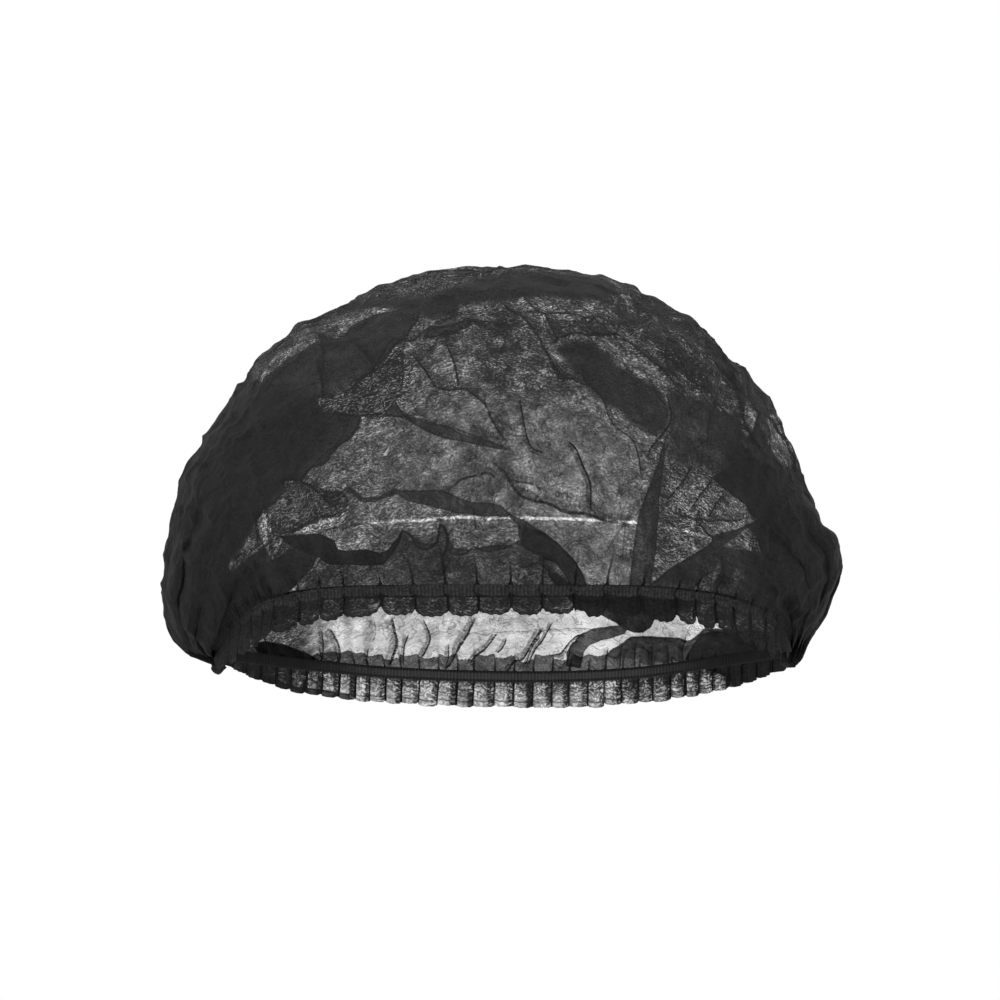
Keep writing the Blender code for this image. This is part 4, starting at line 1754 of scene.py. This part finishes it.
# Sharp lines: name, width_mm, proud_mm, ink, path, and the taper where it is even.
NEAR_CREASES = (
    ("lens_line", 1.5, 0.6, 1.2, (316, 415, 340, 416, 360, 418, 383, 417)),
    ("lens_edge", 1.1, 0.5, 0.9, (396, 403, 404, 414, 433, 424, 467, 435, 514, 451)),
    ("main", 1.6, 1.2, 2.2, (352, 388, 366, 378, 380, 367, 392, 350, 400, 346, 412, 346, 427, 338, 450, 331,
     473, 322, 490, 323, 512, 325)),
    ("fork", 1.3, 1.0, 1.6, (405, 354, 416, 362, 427, 376, 437, 390, 450, 393, 463, 393, 475, 400, 485, 408,
     492, 422, 500, 435, 508, 446)),
    ("spur", 1.2, 0.8, 1.6, (446, 346, 452, 360, 457, 376, 459, 392)),
    ("slant", 1.3, 1.2, 1.6, (498, 298, 510, 312, 525, 323, 536, 336, 542, 352, 550, 368, 560, 384)),
    ("peak", 1.2, 1.0, 1.5, (520, 288, 524, 300, 534, 313, 545, 322, 551, 335, 555, 345)),
    ("brow", 1.5, 1.1, 2.0, (549, 351, 558, 344, 570, 339, 585, 338, 600, 338, 617, 337, 630, 346, 645, 358,
     657, 372, 668, 383, 684, 392)),
    ("upper_brow", 1.3, 0.9, 2.0, (540, 320, 560, 318, 580, 323, 600, 323, 620, 326)),
    ("chevron", 1.2, 0.6, 1.4, (578, 322, 586, 332, 600, 337)),
    ("drop", 1.1, 0.9, 1.3, (581, 365, 584, 382, 595, 394, 603, 405, 608, 420, 620, 434, 633, 443, 638, 460,
     642, 482)),
    ("hook", 1.3, 0.8, 1.8, (665, 395, 668, 412, 668, 425, 658, 438, 650, 448, 645, 460)),
    ("ripple", 1.6, 1.0, 1.5, (490, 460, 505, 472, 514, 487, 524, 496, 545, 502, 570, 509, 600, 515,
     630, 523)),
    ("ripple_top", 1.3, 0.6, 1.1, (505, 478, 520, 481, 535, 484, 542, 493)),
    ("ripple_low", 1.4, 0.6, 1.2, (497, 466, 508, 476, 516, 490)),
    ("eyebrow", 1.3, 0.6, 1.1, (453, 486, 462, 478, 475, 475, 488, 472, 497, 478)),
    ("side_a", 2.0, 1.4, 2.0, (710, 340, 716, 356, 727, 374, 736, 395, 738, 410, 740, 425, 746, 440,
     755, 455)),
    ("side_e", 1.5, 1.0, 2.2, (655, 303, 663, 322, 667, 340, 662, 352, 664, 372, 680, 386)),
    ("side_f", 1.4, 0.9, 2.0, (672, 350, 682, 365, 690, 383, 694, 392)),
    ("side_g", 1.4, 0.9, 2.0, (680, 340, 692, 352, 704, 356, 716, 354)),
    ("side_m", 1.4, 0.9, 2.0, (684, 318, 690, 332, 704, 340)),
    ("side_o", 1.4, 0.8, 2.0, (620, 325, 636, 321, 650, 317, 657, 303)),
    ("side_p", 1.7, 1.0, 2.2, (687, 315, 697, 324, 707, 334, 712, 348, 722, 364, 736, 390)),
    ("side_q", 1.8, 1.0, 2.4, (741, 368, 740, 385, 740, 402, 738, 418)),
    ("side_r", 1.6, 1.0, 2.2, (727, 363, 740, 373, 753, 392, 772, 404)),
    ("side_s", 1.5, 0.8, 2.0, (742, 402, 753, 416, 768, 421, 788, 431)),
    ("side_t", 1.3, 0.6, 2.0, (754, 416, 752, 428, 746, 438, 739, 428)),
    ("side_u", 1.5, 0.9, 2.2, (667, 353, 679, 369, 687, 383, 700, 393, 713, 407, 731, 418)),
    ("drop_top", 1.2, 0.8, 1.6, (540, 350, 549, 364, 560, 377, 574, 384, 584, 388)),
    ("top_a", 1.3, 0.7, 1.6, (424, 290, 440, 283, 455, 286, 470, 280)),
    ("left_i", 1.4, 0.8, 1.4, (240, 440, 252, 452, 258, 470, 266, 486)),
    ("side_h", 1.2, 0.7, 0.8, (704, 400, 705, 425, 705, 450)),
    ("side_n", 1.4, 0.8, 1.2, (620, 288, 628, 298, 632, 305)),
    ("side_b", 1.1, 1.0, 1.6, (692, 464, 681, 480, 665, 499)),
    ("side_c", 1.1, 1.0, 1.6, (711, 480, 698, 495, 685, 512)),
    ("side_d", 1.1, 1.0, 1.6, (722, 490, 714, 503, 705, 516)),
    ("side_i", 1.2, 0.8, 1.5, (672, 512, 690, 517, 715, 519, 745, 518)),
    ("side_j", 1.1, 0.8, 1.5, (692, 516, 702, 527, 712, 538)),
    ("side_k", 1.2, 0.8, 1.3, (722, 560, 714, 575, 708, 592)),
    ("fan_a", 1.2, 0.8, 0.5, (705, 600, 713, 612, 716, 628)),
    ("fan_b", 1.2, 0.8, 0.5, (722, 602, 735, 614, 740, 632)),
    ("fan_c", 1.2, 0.8, 0.5, (742, 604, 760, 618, 772, 636)),
    ("left_a", 1.4, 0.9, 2.0, (315, 332, 322, 342, 325, 355, 321, 368, 324, 385, 325, 400)),
    ("left_b", 1.4, 0.9, 1.9, (337, 338, 350, 342, 363, 352, 371, 362, 380, 369)),
    ("left_c", 1.4, 0.8, 1.6, (285, 479, 300, 481, 312, 486, 320, 493, 333, 496, 345, 490)),
    ("left_g", 1.4, 0.6, 1.2, (320, 492, 332, 503, 345, 500)),
    ("left_d", 2.0, 1.0, 1.2, (262, 482, 268, 500, 271, 520, 274, 545, 276, 556)),
    ("left_h", 1.8, 1.0, 1.0, (256, 505, 259, 525, 263, 548, 268, 560)),
    ("left_e", 1.6, 0.7, 1.5, (285, 533, 300, 527, 318, 518, 345, 512)),
    ("left_f", 1.2, 0.5, 0.7, (320, 530, 340, 525, 362, 522, 385, 526)),
    ("edge_left", 1.6, 1.2, 0.9, (246, 352, 252, 365, 244, 382, 238, 400)),
    ("flap_seam", 1.5, 0.6, 1.4, (402, 527, 410, 531, 420, 542, 432, 543, 438, 538, 441, 522, 446, 526,
     448, 540, 443, 556, 446, 575)),
    ("flap_line", 1.4, 0.6, 1.3, (450, 549, 465, 549, 480, 545, 512, 544)),
    ("flap_low", 1.4, 0.5, 1.1, (512, 563, 535, 560, 562, 552)),
    ("flap_tie", 1.2, 0.5, 0.8, (474, 505, 475, 515, 476, 527)),
    ("strip_tie", 1.3, 0.5, 0.8, (519, 520, 524, 533, 518, 541)),
    ("curl", 1.6, 0.6, 0.9, (541, 565, 548, 568, 552, 578, 560, 582)),
)
FAR_CREASES = (
    ("stem", 1.0, 0.8, 1.7, (519, 398, 522, 414, 525, 430, 531, 448, 545, 454)),
    ("needle", 1.15, 0.8, 2.0, (566, 440, 575, 448, 582, 465, 589, 482, 590, 500, 590, 512)),
    ("bright_seam", 2.2, 0.4, -0.6, (362, 523, 400, 521, 437, 519), EVEN),
    ("bright_seam_b", 2.0, 0.4, -0.6, (446, 518, 510, 518, 570, 519, 634, 523), EVEN),
    ("bright_seam_end", 1.0, 0.4, -0.4, (660, 527, 680, 530, 700, 535, 712, 538), EVEN),
    ("thin_seam", 0.7, 0.3, 0.5, (430, 629, 480, 629, 540, 629, 600, 628), EVEN),
    ("strip_seam", 0.9, 0.3, 0.5, (624, 525, 622, 545, 621, 562)),
    ("far_a", 1.7, 1.2, 0.45, (420, 300, 410, 340, 385, 380, 350, 400)),
    ("far_b", 1.8, 1.2, 0.45, (560, 290, 600, 330, 650, 360, 700, 420)),
    ("far_c", 1.6, 1.0, 0.3, (430, 560, 470, 500, 480, 440, 520, 400)),
    ("far_d", 1.7, 1.2, 0.45, (300, 480, 340, 440, 360, 380)),
    ("far_e", 1.6, 1.1, 0.4, (600, 560, 640, 500, 690, 450, 730, 440)),
    ("gap_a", 1.9, 0.6, 1.8, (392, 617, 395, 630, 397, 643, 393, 655, 389, 665)),
    ("gap_b", 1.0, 0.6, 2.2, (424, 617, 430, 628, 430, 638, 424, 650, 420, 658)),
    ("gap_c", 1.0, 0.5, 1.6, (409, 630, 405, 642, 404, 655, 404, 664)),
    ("gap_d", 1.5, 0.8, 2.0, (476, 615, 468, 629, 461, 640, 454, 655, 444, 668)),
    ("gap_e", 1.1, 0.6, 2.2, (497, 630, 489, 640, 478, 651, 470, 663)),
    ("gap_f", 0.9, 0.5, 1.8, (506, 634, 504, 642, 497, 651)),
    ("gap_g", 1.4, 0.8, 2.0, (543, 626, 531, 643, 519, 657, 506, 670)),
    ("gap_m", 1.0, 0.5, 1.7, (540, 634, 532, 646, 524, 662)),
    ("gap_h", 1.1, 0.6, 1.9, (553, 622, 543, 636, 533, 652, 528, 664)),
    ("gap_i", 1.6, 0.8, 1.6, (328, 628, 335, 636, 340, 650, 340, 662)),
    ("gap_j", 1.1, 0.6, 1.6, (322, 630, 324, 645, 322, 660)),
    ("gap_n", 0.9, 0.5, 1.5, (369, 645, 367, 658, 367, 668)),
    ("gap_k", 0.9, 0.5, 1.5, (449, 638, 449, 650, 446, 664)),
    ("gap_o", 1.0, 0.5, 0.5, (375, 620, 376, 632, 372, 640)),
    ("gap_l", 1.1, 0.6, 2.0, (548, 657, 560, 650, 572, 638, 585, 631)),
    ("gap_p", 1.0, 0.5, 1.1, (608, 648, 605, 660, 604, 672)),
    ("gap_q", 1.0, 0.5, 1.1, (622, 643, 620, 657, 618, 671)),
    ("gap_r", 1.0, 0.5, 1.1, (636, 640, 634, 655, 634, 670)),
    ("gap_s", 1.0, 0.5, 1.1, (650, 640, 651, 654, 652, 668)),
    ("gap_t", 1.0, 0.5, 1.1, (666, 640, 667, 654, 668, 667)),
    ("gap_u", 1.0, 0.5, 1.1, (684, 630, 681, 645, 682, 665)),
    ("gap_v", 1.0, 0.5, 1.2, (556, 668, 568, 655, 570, 645, 578, 638)),
)

# Patches with a sharp edge: name, wall, kind, proud_mm, ink, calm, path.
PATCHES = (
    ("upright", NEAR, FLAP, 0.8, 1.35, 0.8, (665, 437, 664, 460, 661, 480, 659, 500, 658, 520, 656, 545,
     652, 570, 650, 592, 629, 592, 631, 575, 633, 550, 636, 525, 640, 510, 646, 495, 651, 480, 657, 462,
     662, 448)),
    ("lens", NEAR, FLAP, 0.8, 1.3, 0.8, (383, 417, 389, 409, 396, 403, 400, 409, 404, 414, 415, 420,
     433, 424, 450, 428, 467, 435, 485, 441, 514, 451, 500, 450, 480, 446, 460, 441, 445, 439, 430, 433,
     415, 425, 404, 418)),
    ("main_lap", NEAR, FLAP, 0.8, 0.7, 0.5, (423, 339, 430, 329, 445, 325, 460, 322, 474, 319, 469, 327,
     455, 333, 440, 337)),
    ("seam_glow", NEAR, FLAP, 0.0, -0.6, 0.0, (368, 522, 400, 519.5, 437, 517.5, 437, 520.5, 400, 523,
     370, 526)),
    ("seam_glow_b", NEAR, FLAP, 0.0, -0.85, 0.0, (441, 516.5, 475, 516.5, 511, 516.5, 511, 519.5,
     475, 519.5, 441, 520)),
    ("seam_glow_c", NEAR, FLAP, 0.0, -0.85, 0.0, (519, 516.8, 570, 517.2, 605, 519, 637, 521.8, 637, 524.4,
     605, 522, 570, 520.2, 519, 519.8)),
    ("seam_glow_d", NEAR, FLAP, 0.0, -0.8, 0.0, (662, 526, 685, 529.5, 713, 536.5, 713, 538.3, 685, 532,
     662, 528.5)),
    ("low_flap", NEAR, UNDER, 0.6, 1.1, 0.35, (383, 596, 383, 563, 392, 553, 402, 528, 410, 532, 420, 541,
     430, 543, 437, 540, 441, 522, 446, 526, 449, 540, 455, 548, 470, 549, 490, 545, 512, 544, 522, 538,
     524, 524, 545, 532, 562, 546, 575, 560, 583, 575, 590, 596)),
    ("black_flap", NEAR, FLAP, 0.8, 3.0, 1.0, (279, 535, 300, 534, 320, 534, 334, 539, 338, 549, 350, 550,
     365, 548, 380, 552, 388, 549, 397, 537, 404, 526, 399, 541, 392, 553, 383, 563, 371, 564, 330, 563,
     319, 557, 308, 552, 297, 546, 288, 540)),
    ("long_flap", NEAR, FLAP, 0.8, 1.25, 0.85, (343, 491, 350, 487, 356, 491, 364, 497, 380, 497, 388, 492,
     395, 489, 405, 490, 437, 490, 448, 492, 460, 498, 472, 502, 490, 502, 500, 505, 512, 515, 525, 520,
     545, 532, 562, 546, 575, 560, 583, 575, 590, 592, 574, 592, 566, 575, 556, 560, 540, 556, 526, 548,
     520, 536, 518, 524, 508, 516, 480, 515, 455, 513, 440, 508, 425, 504, 408, 501, 397, 494, 388, 497,
     376, 502, 364, 502, 354, 494)),
    ("band_dark", NEAR, LAP, 0.8, 1.8, 0.9, (548, 572, 556, 571, 566, 580, 575, 584, 592, 588, 612, 592,
     640, 590, 655, 579, 668, 568, 690, 556, 703, 548, 712, 541, 712, 536, 722, 532, 735, 530, 750, 524,
     757, 519, 750, 515, 745, 505, 735, 497, 725, 490, 718, 484, 712, 478, 722, 470, 740, 460, 747, 446,
     752, 455, 765, 462, 780, 470, 800, 474, 900, 478, 900, 700, 792, 700, 780, 640, 765, 614, 740, 604,
     700, 604, 676, 612, 660, 622, 640, 628, 622, 622, 610, 614, 575, 606, 562, 592)),
    ("window_a", NEAR, FLAP, 0.3, -1.3, 0.0, (722, 545, 738, 534, 747, 527, 755, 536, 765, 560, 750, 551,
     735, 549)),
    ("window_b", NEAR, FLAP, 0.3, -0.7, 0.0, (691, 592, 701, 579, 712, 571, 718, 563, 720, 568, 711, 592)),
    ("window_c", NEAR, FLAP, 0.3, -0.4, 0.0, (722, 592, 730, 575, 740, 563, 747, 565, 738, 592)),
    ("window_d", NEAR, FLAP, 0.3, -1.0, 0.0, (826, 530, 836, 533, 848, 548, 848, 566, 838, 578, 834, 586,
     829, 590, 827, 575, 828, 555)),
    ("window_e", NEAR, FLAP, 0.3, -0.9, 0.0, (765, 415, 782, 417, 800, 450, 805, 475, 792, 468, 782, 466,
     772, 450, 769, 432)),
    ("window_f", NEAR, FLAP, 0.3, -0.8, 0.0, (742, 405, 750, 409, 757, 416, 752, 428, 745, 437, 740, 428)),
    ("window_g", NEAR, FLAP, 0.3, -0.1, 0.0, (716, 386, 724, 383, 733, 394, 738, 405, 735, 413, 716, 412,
     704, 403, 716, 398)),
    ("window_h", NEAR, FLAP, 0.3, -1.5, 0.0, (272, 514, 266, 512, 258, 520, 250, 533, 243, 542, 234, 552,
     229, 566, 232, 572, 240, 565, 250, 557, 261, 549, 270, 540, 273, 528)),
    ("window_k", NEAR, FLAP, 0.3, -0.6, 0.0, (276, 543, 286, 539, 294, 545, 289, 552, 273, 557)),
    ("window_l", NEAR, FLAP, 0.3, -1.0, 0.0, (261, 379, 268, 365, 280, 352, 300, 344, 315, 337, 316, 343,
     300, 353, 285, 363, 272, 374)),
    ("window_m", NEAR, FLAP, 0.3, -0.6, 0.0, (336, 322, 345, 313, 375, 308, 395, 308, 375, 316, 362, 322,
     350, 328, 345, 334, 338, 328)),
    ("window_n", NEAR, FLAP, 0.3, -0.35, 0.0, (520, 300, 545, 298, 600, 301, 605, 306, 612, 312, 600, 319,
     575, 321, 550, 319, 535, 315, 525, 308)),
    ("window_o", NEAR, FLAP, 0.3, -0.15, 0.0, (618, 340, 630, 346, 645, 358, 657, 372, 664, 383, 655, 381,
     640, 379, 625, 372, 612, 356, 604, 342)),
    ("window_p", NEAR, FLAP, 0.3, -0.05, 0.0, (670, 350, 684, 342, 700, 357, 716, 362, 722, 378, 714, 390,
     700, 396, 688, 384)),
    ("window_q", NEAR, FLAP, 0.3, -0.55, 0.0, (288, 533, 300, 527, 318, 518, 346, 512, 346, 522, 330, 528,
     310, 532)),
    ("right_edge", NEAR, LAP, 0.8, 1.1, 0.6, (704, 334, 712, 345, 728, 358, 736, 368, 740, 385, 745, 400,
     740, 416, 737, 398, 728, 380, 716, 368, 708, 352)),
    ("right_edge_low", NEAR, LAP, 0.6, 1.0, 0.4, (745, 375, 758, 388, 770, 400, 778, 412, 765, 416,
     770, 435, 762, 450, 748, 440, 757, 415, 748, 400)),
    ("left_smooth", NEAR, UNDER, 0.5, 0.8, 1.0, (205, 434, 222, 408, 240, 384, 258, 380, 262, 384, 265, 378,
     272, 374, 285, 363, 300, 353, 316, 343, 322, 346, 326, 355, 322, 375, 325, 398, 300, 402, 292, 406,
     287, 418, 265, 420, 255, 426, 235, 434)),
    ("left_smooth_b", NEAR, FLAP, 0.5, 0.85, 0.95, (326, 355, 322, 345, 318, 333, 328, 338, 345, 340,
     356, 345, 366, 355, 375, 365, 380, 369, 365, 378, 352, 390, 340, 397, 325, 399, 322, 375)),
    ("left_smooth_c", NEAR, LAP, 0.5, 0.85, 1.0, (345, 335, 350, 328, 362, 322, 375, 316, 390, 312,
     405, 311, 420, 310, 418, 320, 412, 330, 405, 342, 395, 346, 385, 362, 380, 369, 366, 353, 356, 344)),
    ("top_lap", NEAR, LAP, 0.4, 0.4, 0.0, (560, 320, 580, 323, 600, 323, 619, 326, 617, 336, 600, 338,
     586, 333, 577, 326, 560, 330, 556, 345, 547, 334, 544, 321)),
    ("left_dark", NEAR, LAP, 1.0, 1.7, 1.0, (316, 415, 345, 416, 362, 417, 360, 426, 356, 433, 350, 440,
     341, 445, 334, 452, 330, 461, 322, 466, 312, 468, 306, 475, 303, 481, 290, 480, 284, 484, 284, 492,
     278, 500, 268, 507, 262, 512, 259, 520, 262, 536, 268, 550, 274, 560, 285, 538, 300, 544, 319, 553,
     312, 568, 303, 577, 293, 588, 284, 595, 272, 603, 262, 613, 245, 640, 230, 700, 100, 700, 100, 425,
     205, 434, 235, 434, 255, 426, 265, 420, 287, 418, 292, 406, 302, 402, 316, 400, 322, 410)),
    ("left_middle", NEAR, UNDER, 0.4, 1.0, 0.0, (303, 482, 318, 486, 330, 492, 343, 491, 350, 500, 346, 512,
     318, 518, 300, 527, 285, 533, 275, 536, 270, 520, 268, 507, 278, 500, 284, 492, 284, 484)),
    ("stroked", NEAR, UNDER, 0.3, 1.05, 0.0, (324, 402, 345, 396, 355, 386, 366, 377, 380, 369, 388, 360,
     396, 350, 403, 353, 404, 375, 401, 394, 396, 402, 383, 416, 350, 416, 320, 415)),
    ("low_cells", NEAR, UNDER, 0.3, 0.85, 0.1, (303, 576, 312, 570, 321, 557, 330, 562, 371, 563, 384, 560,
     384, 600, 296, 600, 296, 588)),
    ("gap_lobe", FAR, FLAP, 0.0, 3.2, 0.0, (598, 613, 600, 606, 606, 599, 615, 594, 626, 592, 638, 594,
     648, 600, 654, 608, 655, 618, 650, 628, 643, 633, 634, 633, 624, 629, 617, 623, 608, 618)),
    ("gap_flap", FAR, FLAP, 0.5, 2.3, 0.0, (566, 666, 566, 652, 572, 642, 580, 634, 592, 629, 610, 626,
     630, 625, 624, 634, 612, 638, 600, 640, 590, 645, 584, 652, 580, 668)),
    ("gap_right", FAR, LAP, 0.8, 2.9, 0.0, (600, 668, 604, 656, 612, 648, 620, 643, 630, 637, 645, 636,
     662, 636, 680, 637, 690, 640, 700, 632, 704, 628, 760, 630, 800, 650, 790, 680, 738, 692, 724, 676,
     700, 668, 685, 668)),
    ("gap_dark", FAR, UNDER, 0.5, 0.9, 0.9, (732, 694, 722, 676, 700, 667, 688, 664, 686, 655, 694, 641,
     702, 632, 716, 630, 760, 632, 800, 650, 790, 690)),
    ("black_wedge", FAR, FLAP, 0.8, 3.0, 1.0, (252, 643, 268, 641, 285, 644, 303, 651, 318, 659, 336, 667,
     312, 666, 285, 661, 262, 656)),
    ("frill_dark", NEAR, FLAP, 0.2, 2.2, 0.9, (574, 602, 600, 600, 640, 600, 679, 600, 679, 640, 620, 640,
     574, 630)),
    ("turned_hem", FAR, FLAP, 0.3, 2.3, 0.5, (255, 672, 270, 676, 285, 683, 300, 687, 320, 690, 340, 693,
     350, 694, 352, 706, 330, 706, 300, 702, 260, 694)),
)

# Patches with a soft edge: name, wall, kind, width_mm, ink, path, and calm where it isn't 0.
SOFT_PATCHES = (
    ("smooth_patch", NEAR, SHADE, 1.8, 1.65, (555, 350, 565, 344, 590, 342, 603, 352, 617, 366, 640, 379,
     661, 389, 668, 405, 668, 424, 655, 439, 645, 432, 637, 426, 622, 414, 607, 404, 594, 394, 583, 382,
     570, 365), 1.0),
    ("right_smooth", NEAR, SHADE, 2.0, 0.7, (667, 392, 690, 395, 702, 400, 714, 413, 738, 415, 745, 440,
     740, 462, 722, 472, 708, 466, 696, 462, 680, 465, 665, 461, 666, 440, 671, 428), 0.9),
    ("top_band", NEAR, SHADE, 1.6, 1.3, (334, 312, 345, 303, 365, 302, 395, 299, 430, 296, 460, 285,
     480, 279, 510, 274, 560, 276, 600, 277, 617, 288, 612, 298, 600, 301, 560, 297, 540, 297, 520, 299,
     500, 302, 480, 302, 460, 305, 455, 314, 430, 317, 418, 312, 395, 308, 365, 309, 345, 313), 1.0),
    ("strokes_left", NEAR, STROKES, 4.0, 0.8, (315, 400, 350, 380, 396, 346, 415, 370, 405, 400, 383, 420,
     316, 418)),
    ("strokes_low", NEAR, STROKES, 4.0, 0.4, (262, 483, 300, 478, 345, 488, 352, 505, 330, 530, 272, 560)),
    ("strokes_top", NEAR, STROKES, 6.0, 0.15, (330, 325, 400, 270, 500, 262, 620, 300, 700, 330, 735, 380,
     700, 400, 650, 360, 560, 320, 430, 330)),
    ("strokes_right", NEAR, STROKES, 5.0, 0.2, (662, 440, 720, 455, 765, 480, 760, 560, 690, 592,
     660, 560)),
    ("quiet", NEAR, STROKES, 10.0, -0.3, (415, 430, 470, 400, 560, 400, 620, 440, 632, 590, 590, 585,
     540, 525, 400, 485)),
    ("quiet_far", FAR, STROKES, 10.0, -0.3, (380, 430, 470, 400, 560, 400, 640, 440, 640, 600, 400, 600)),
    ("quiet_gap", FAR, STROKES, 2.0, -0.35, (300, 600, 690, 600, 690, 656, 300, 656)),
    ("centre_glow", NEAR, SHADE, 6.0, -0.3, (500, 470, 530, 430, 630, 430, 645, 500, 640, 520, 520, 518)),
    ("top_shade", NEAR, SHADE, 5.0, 0.65, (478, 325, 500, 318, 530, 330, 545, 355, 570, 370, 578, 395,
     560, 400, 520, 395, 480, 380)),
    ("right_shade", NEAR, SHADE, 5.0, 0.6, (650, 300, 700, 330, 740, 380, 745, 440, 720, 520, 700, 560,
     650, 592, 655, 440, 668, 390)),
    ("top_right_shade", NEAR, SHADE, 5.0, 0.6, (600, 295, 660, 290, 700, 320, 740, 370, 700, 395,
     640, 345)),
    ("low_glow", NEAR, SHADE, 2.0, -0.3, (582, 527, 630, 527, 629, 588, 602, 588, 588, 560)),
    ("gap_tone", FAR, SHADE, 4.0, 0.14, (380, 600, 530, 600, 530, 654, 380, 652)),
    ("gap_glow", FAR, SHADE, 3.0, -0.22, (548, 605, 612, 612, 600, 640, 560, 650)),
    ("gap_cell_a", FAR, SHADE, 1.2, 0.45, (343, 606, 352, 606, 352, 660, 345, 660)),
    ("gap_cell_b", FAR, SHADE, 1.2, 0.4, (362, 606, 372, 606, 373, 656, 365, 656)),
    ("back_frill_left", FAR, SHADE, 3.0, -0.15, (235, 650, 300, 664, 372, 672, 372, 705, 262, 700,
     235, 690)),
    ("back_frill_end", FAR, SHADE, 3.0, 1.6, (200, 640, 262, 650, 280, 668, 284, 700, 200, 700), 0.5),
    ("back_frill_right", FAR, SHADE, 5.0, 1.0, (612, 676, 700, 666, 790, 650, 790, 690, 612, 705)),
    ("gap_left", FAR, SHADE, 4.0, 1.1, (200, 590, 300, 600, 318, 612, 334, 640, 338, 668, 300, 700,
     200, 700)),
    ("gap_left_end", FAR, SHADE, 5.0, 1.2, (200, 590, 280, 600, 300, 625, 312, 668, 300, 700, 200, 700),
     0.4),
    ("left_gloom", NEAR, SHADE, 5.0, 1.5, (205, 420, 235, 405, 262, 395, 290, 392, 318, 398, 330, 430,
     300, 470, 270, 500, 262, 560, 262, 640, 140, 700, 140, 400), 1.0),
    ("foot_gloom", NEAR, SHADE, 1.6, 1.2, (270, 560, 285, 545, 300, 550, 315, 558, 303, 576, 288, 590,
     268, 600, 240, 640, 225, 620, 228, 585, 250, 565), 0.9),
    ("curl_gloom", NEAR, SHADE, 2.0, 0.6, (518, 556, 545, 560, 568, 578, 574, 592, 516, 592)),
    ("low_glow_right", NEAR, SHADE, 5.0, -0.12, (655, 526, 704, 526, 700, 566, 662, 570)),
    ("right_gloom", NEAR, SHADE, 5.0, 1.5, (735, 440, 760, 440, 790, 460, 860, 470, 860, 700, 780, 660,
     765, 600, 745, 560, 752, 515, 735, 490, 722, 475), 1.0),
)

# Round spots where layers were pressed together: name, wall, and the middle in pixels.
WELD_DOTS = (
    ("dot_a", NEAR, 372, 600),
    ("dot_b", NEAR, 375, 541),
    ("dot_c", FAR, 591, 638),
    ("dot_d", FAR, 596, 688),
)


def weld_dot(name: str, wall: Wall, x: float, y: float, radius: float = 5.5) -> Fold:
    """A round spot where the cloth was pressed together: x + r cos a, y + r sin a.

    Args:
        name: its name.
        wall: the wall that it lies on.
        x: its middle in the photograph, in pixels.
        y: the same, down.
        radius: its radius in pixels.

    Returns:
        The fold.
    """
    turn = np.linspace(0.0, TURN, DOT_SIDES + 1)[:-1]
    path = tuple(part for a in turn for part in (x + radius * math.cos(a), y + radius * math.sin(a)))
    return Fold(name, wall, FLAP, path, proud_mm=DOT_PROUD_MM, ink=DOT_INK)


def listed_folds() -> tuple[Fold, ...]:
    """The folds of the five tables.

    Returns:
        The folds, in the order of the tables.
    """
    folds = []
    for wall, creases in ((NEAR, NEAR_CREASES), (FAR, FAR_CREASES)):
        for name, width_mm, proud_mm, ink, path, *taper in creases:
            folds.append(Fold(name, wall, FoldKind.CREASE, path, width_mm, proud_mm, ink, *taper))
    for name, wall, kind, proud_mm, ink, calm, path in PATCHES:
        folds.append(Fold(name, wall, kind, path, proud_mm=proud_mm, ink=ink, calm=calm))
    for name, wall, kind, width_mm, ink, path, *calm in SOFT_PATCHES:
        folds.append(Fold(name, wall, kind, path, width_mm, ink=ink, calm=sum(calm)))
    return (*folds, *(weld_dot(*dot) for dot in WELD_DOTS))


def report(piece: bpy.types.Object) -> None:
    """Logs one finished piece.

    Args:
        piece: the piece.
    """
    log.info("%s: %d faces", piece.name, len(piece.data.polygons))


def main() -> None:
    """Builds the studio and every piece, in order."""
    lens = Lens()
    lens.mount()
    Studio().build()
    form = CapForm()
    front = Gathers(
        form,
        lens,
        True,
        FRONT_LINES,
        lap=1.28,
        lap_band=2.2,
        fin=0.0010,
        puff_above=0.0030,
        puff_frill=0.0024,
        notch=0.40,
        line_mm=0.60,
        line_ink=1.5,
        seed=100,
        calm_end=0.05,
    )
    back = Gathers(
        form,
        lens,
        False,
        BACK_LINES,
        lap=1.30,
        lap_band=2.3,
        fin=0.0008,
        puff_above=0.0018,
        puff_frill=0.0014,
        notch=0.09,
        line_mm=0.70,
        line_ink=1.6,
        seed=200,
        calm_end=0.02,
        longer=0.09,
    )
    cloth = PleatedCloth(form, lens, listed_folds(), front, back)
    cloth_finish = ClothFinish().material()
    elastic_finish = ElasticFinish().material()
    weld_finish = WeldFinish().material()
    for band in (
        ElasticBand("front_elastic_ribbed", "front_elastic", True),
        ElasticBand("back_elastic_ribbed", "back_elastic", False),
    ):
        report(band.build(form, elastic_finish))
    for weld in (
        EndWeld("left_weld_pressed", "left_end_weld", -1.0),
        EndWeld("right_weld_pressed", "right_end_weld", 1.0, bottom=-0.0045),
    ):
        report(weld.build(form, weld_finish))
    web, half = form.web, form.web / 2
    for stretch in (
        ClothPiece("front_gathers", -form.frill, SKIRT, columns=961, rows=97),
        ClothPiece("crown_front", SKIRT, half, columns=481, rows=190),
        ClothPiece("crown_back", half, web - SKIRT, columns=495, rows=180),
        ClothPiece("back_gathers", web - SKIRT, web + form.frill, columns=989, rows=97),
    ):
        report(stretch.build(cloth, cloth_finish))


if __name__ == "__main__":
    main()
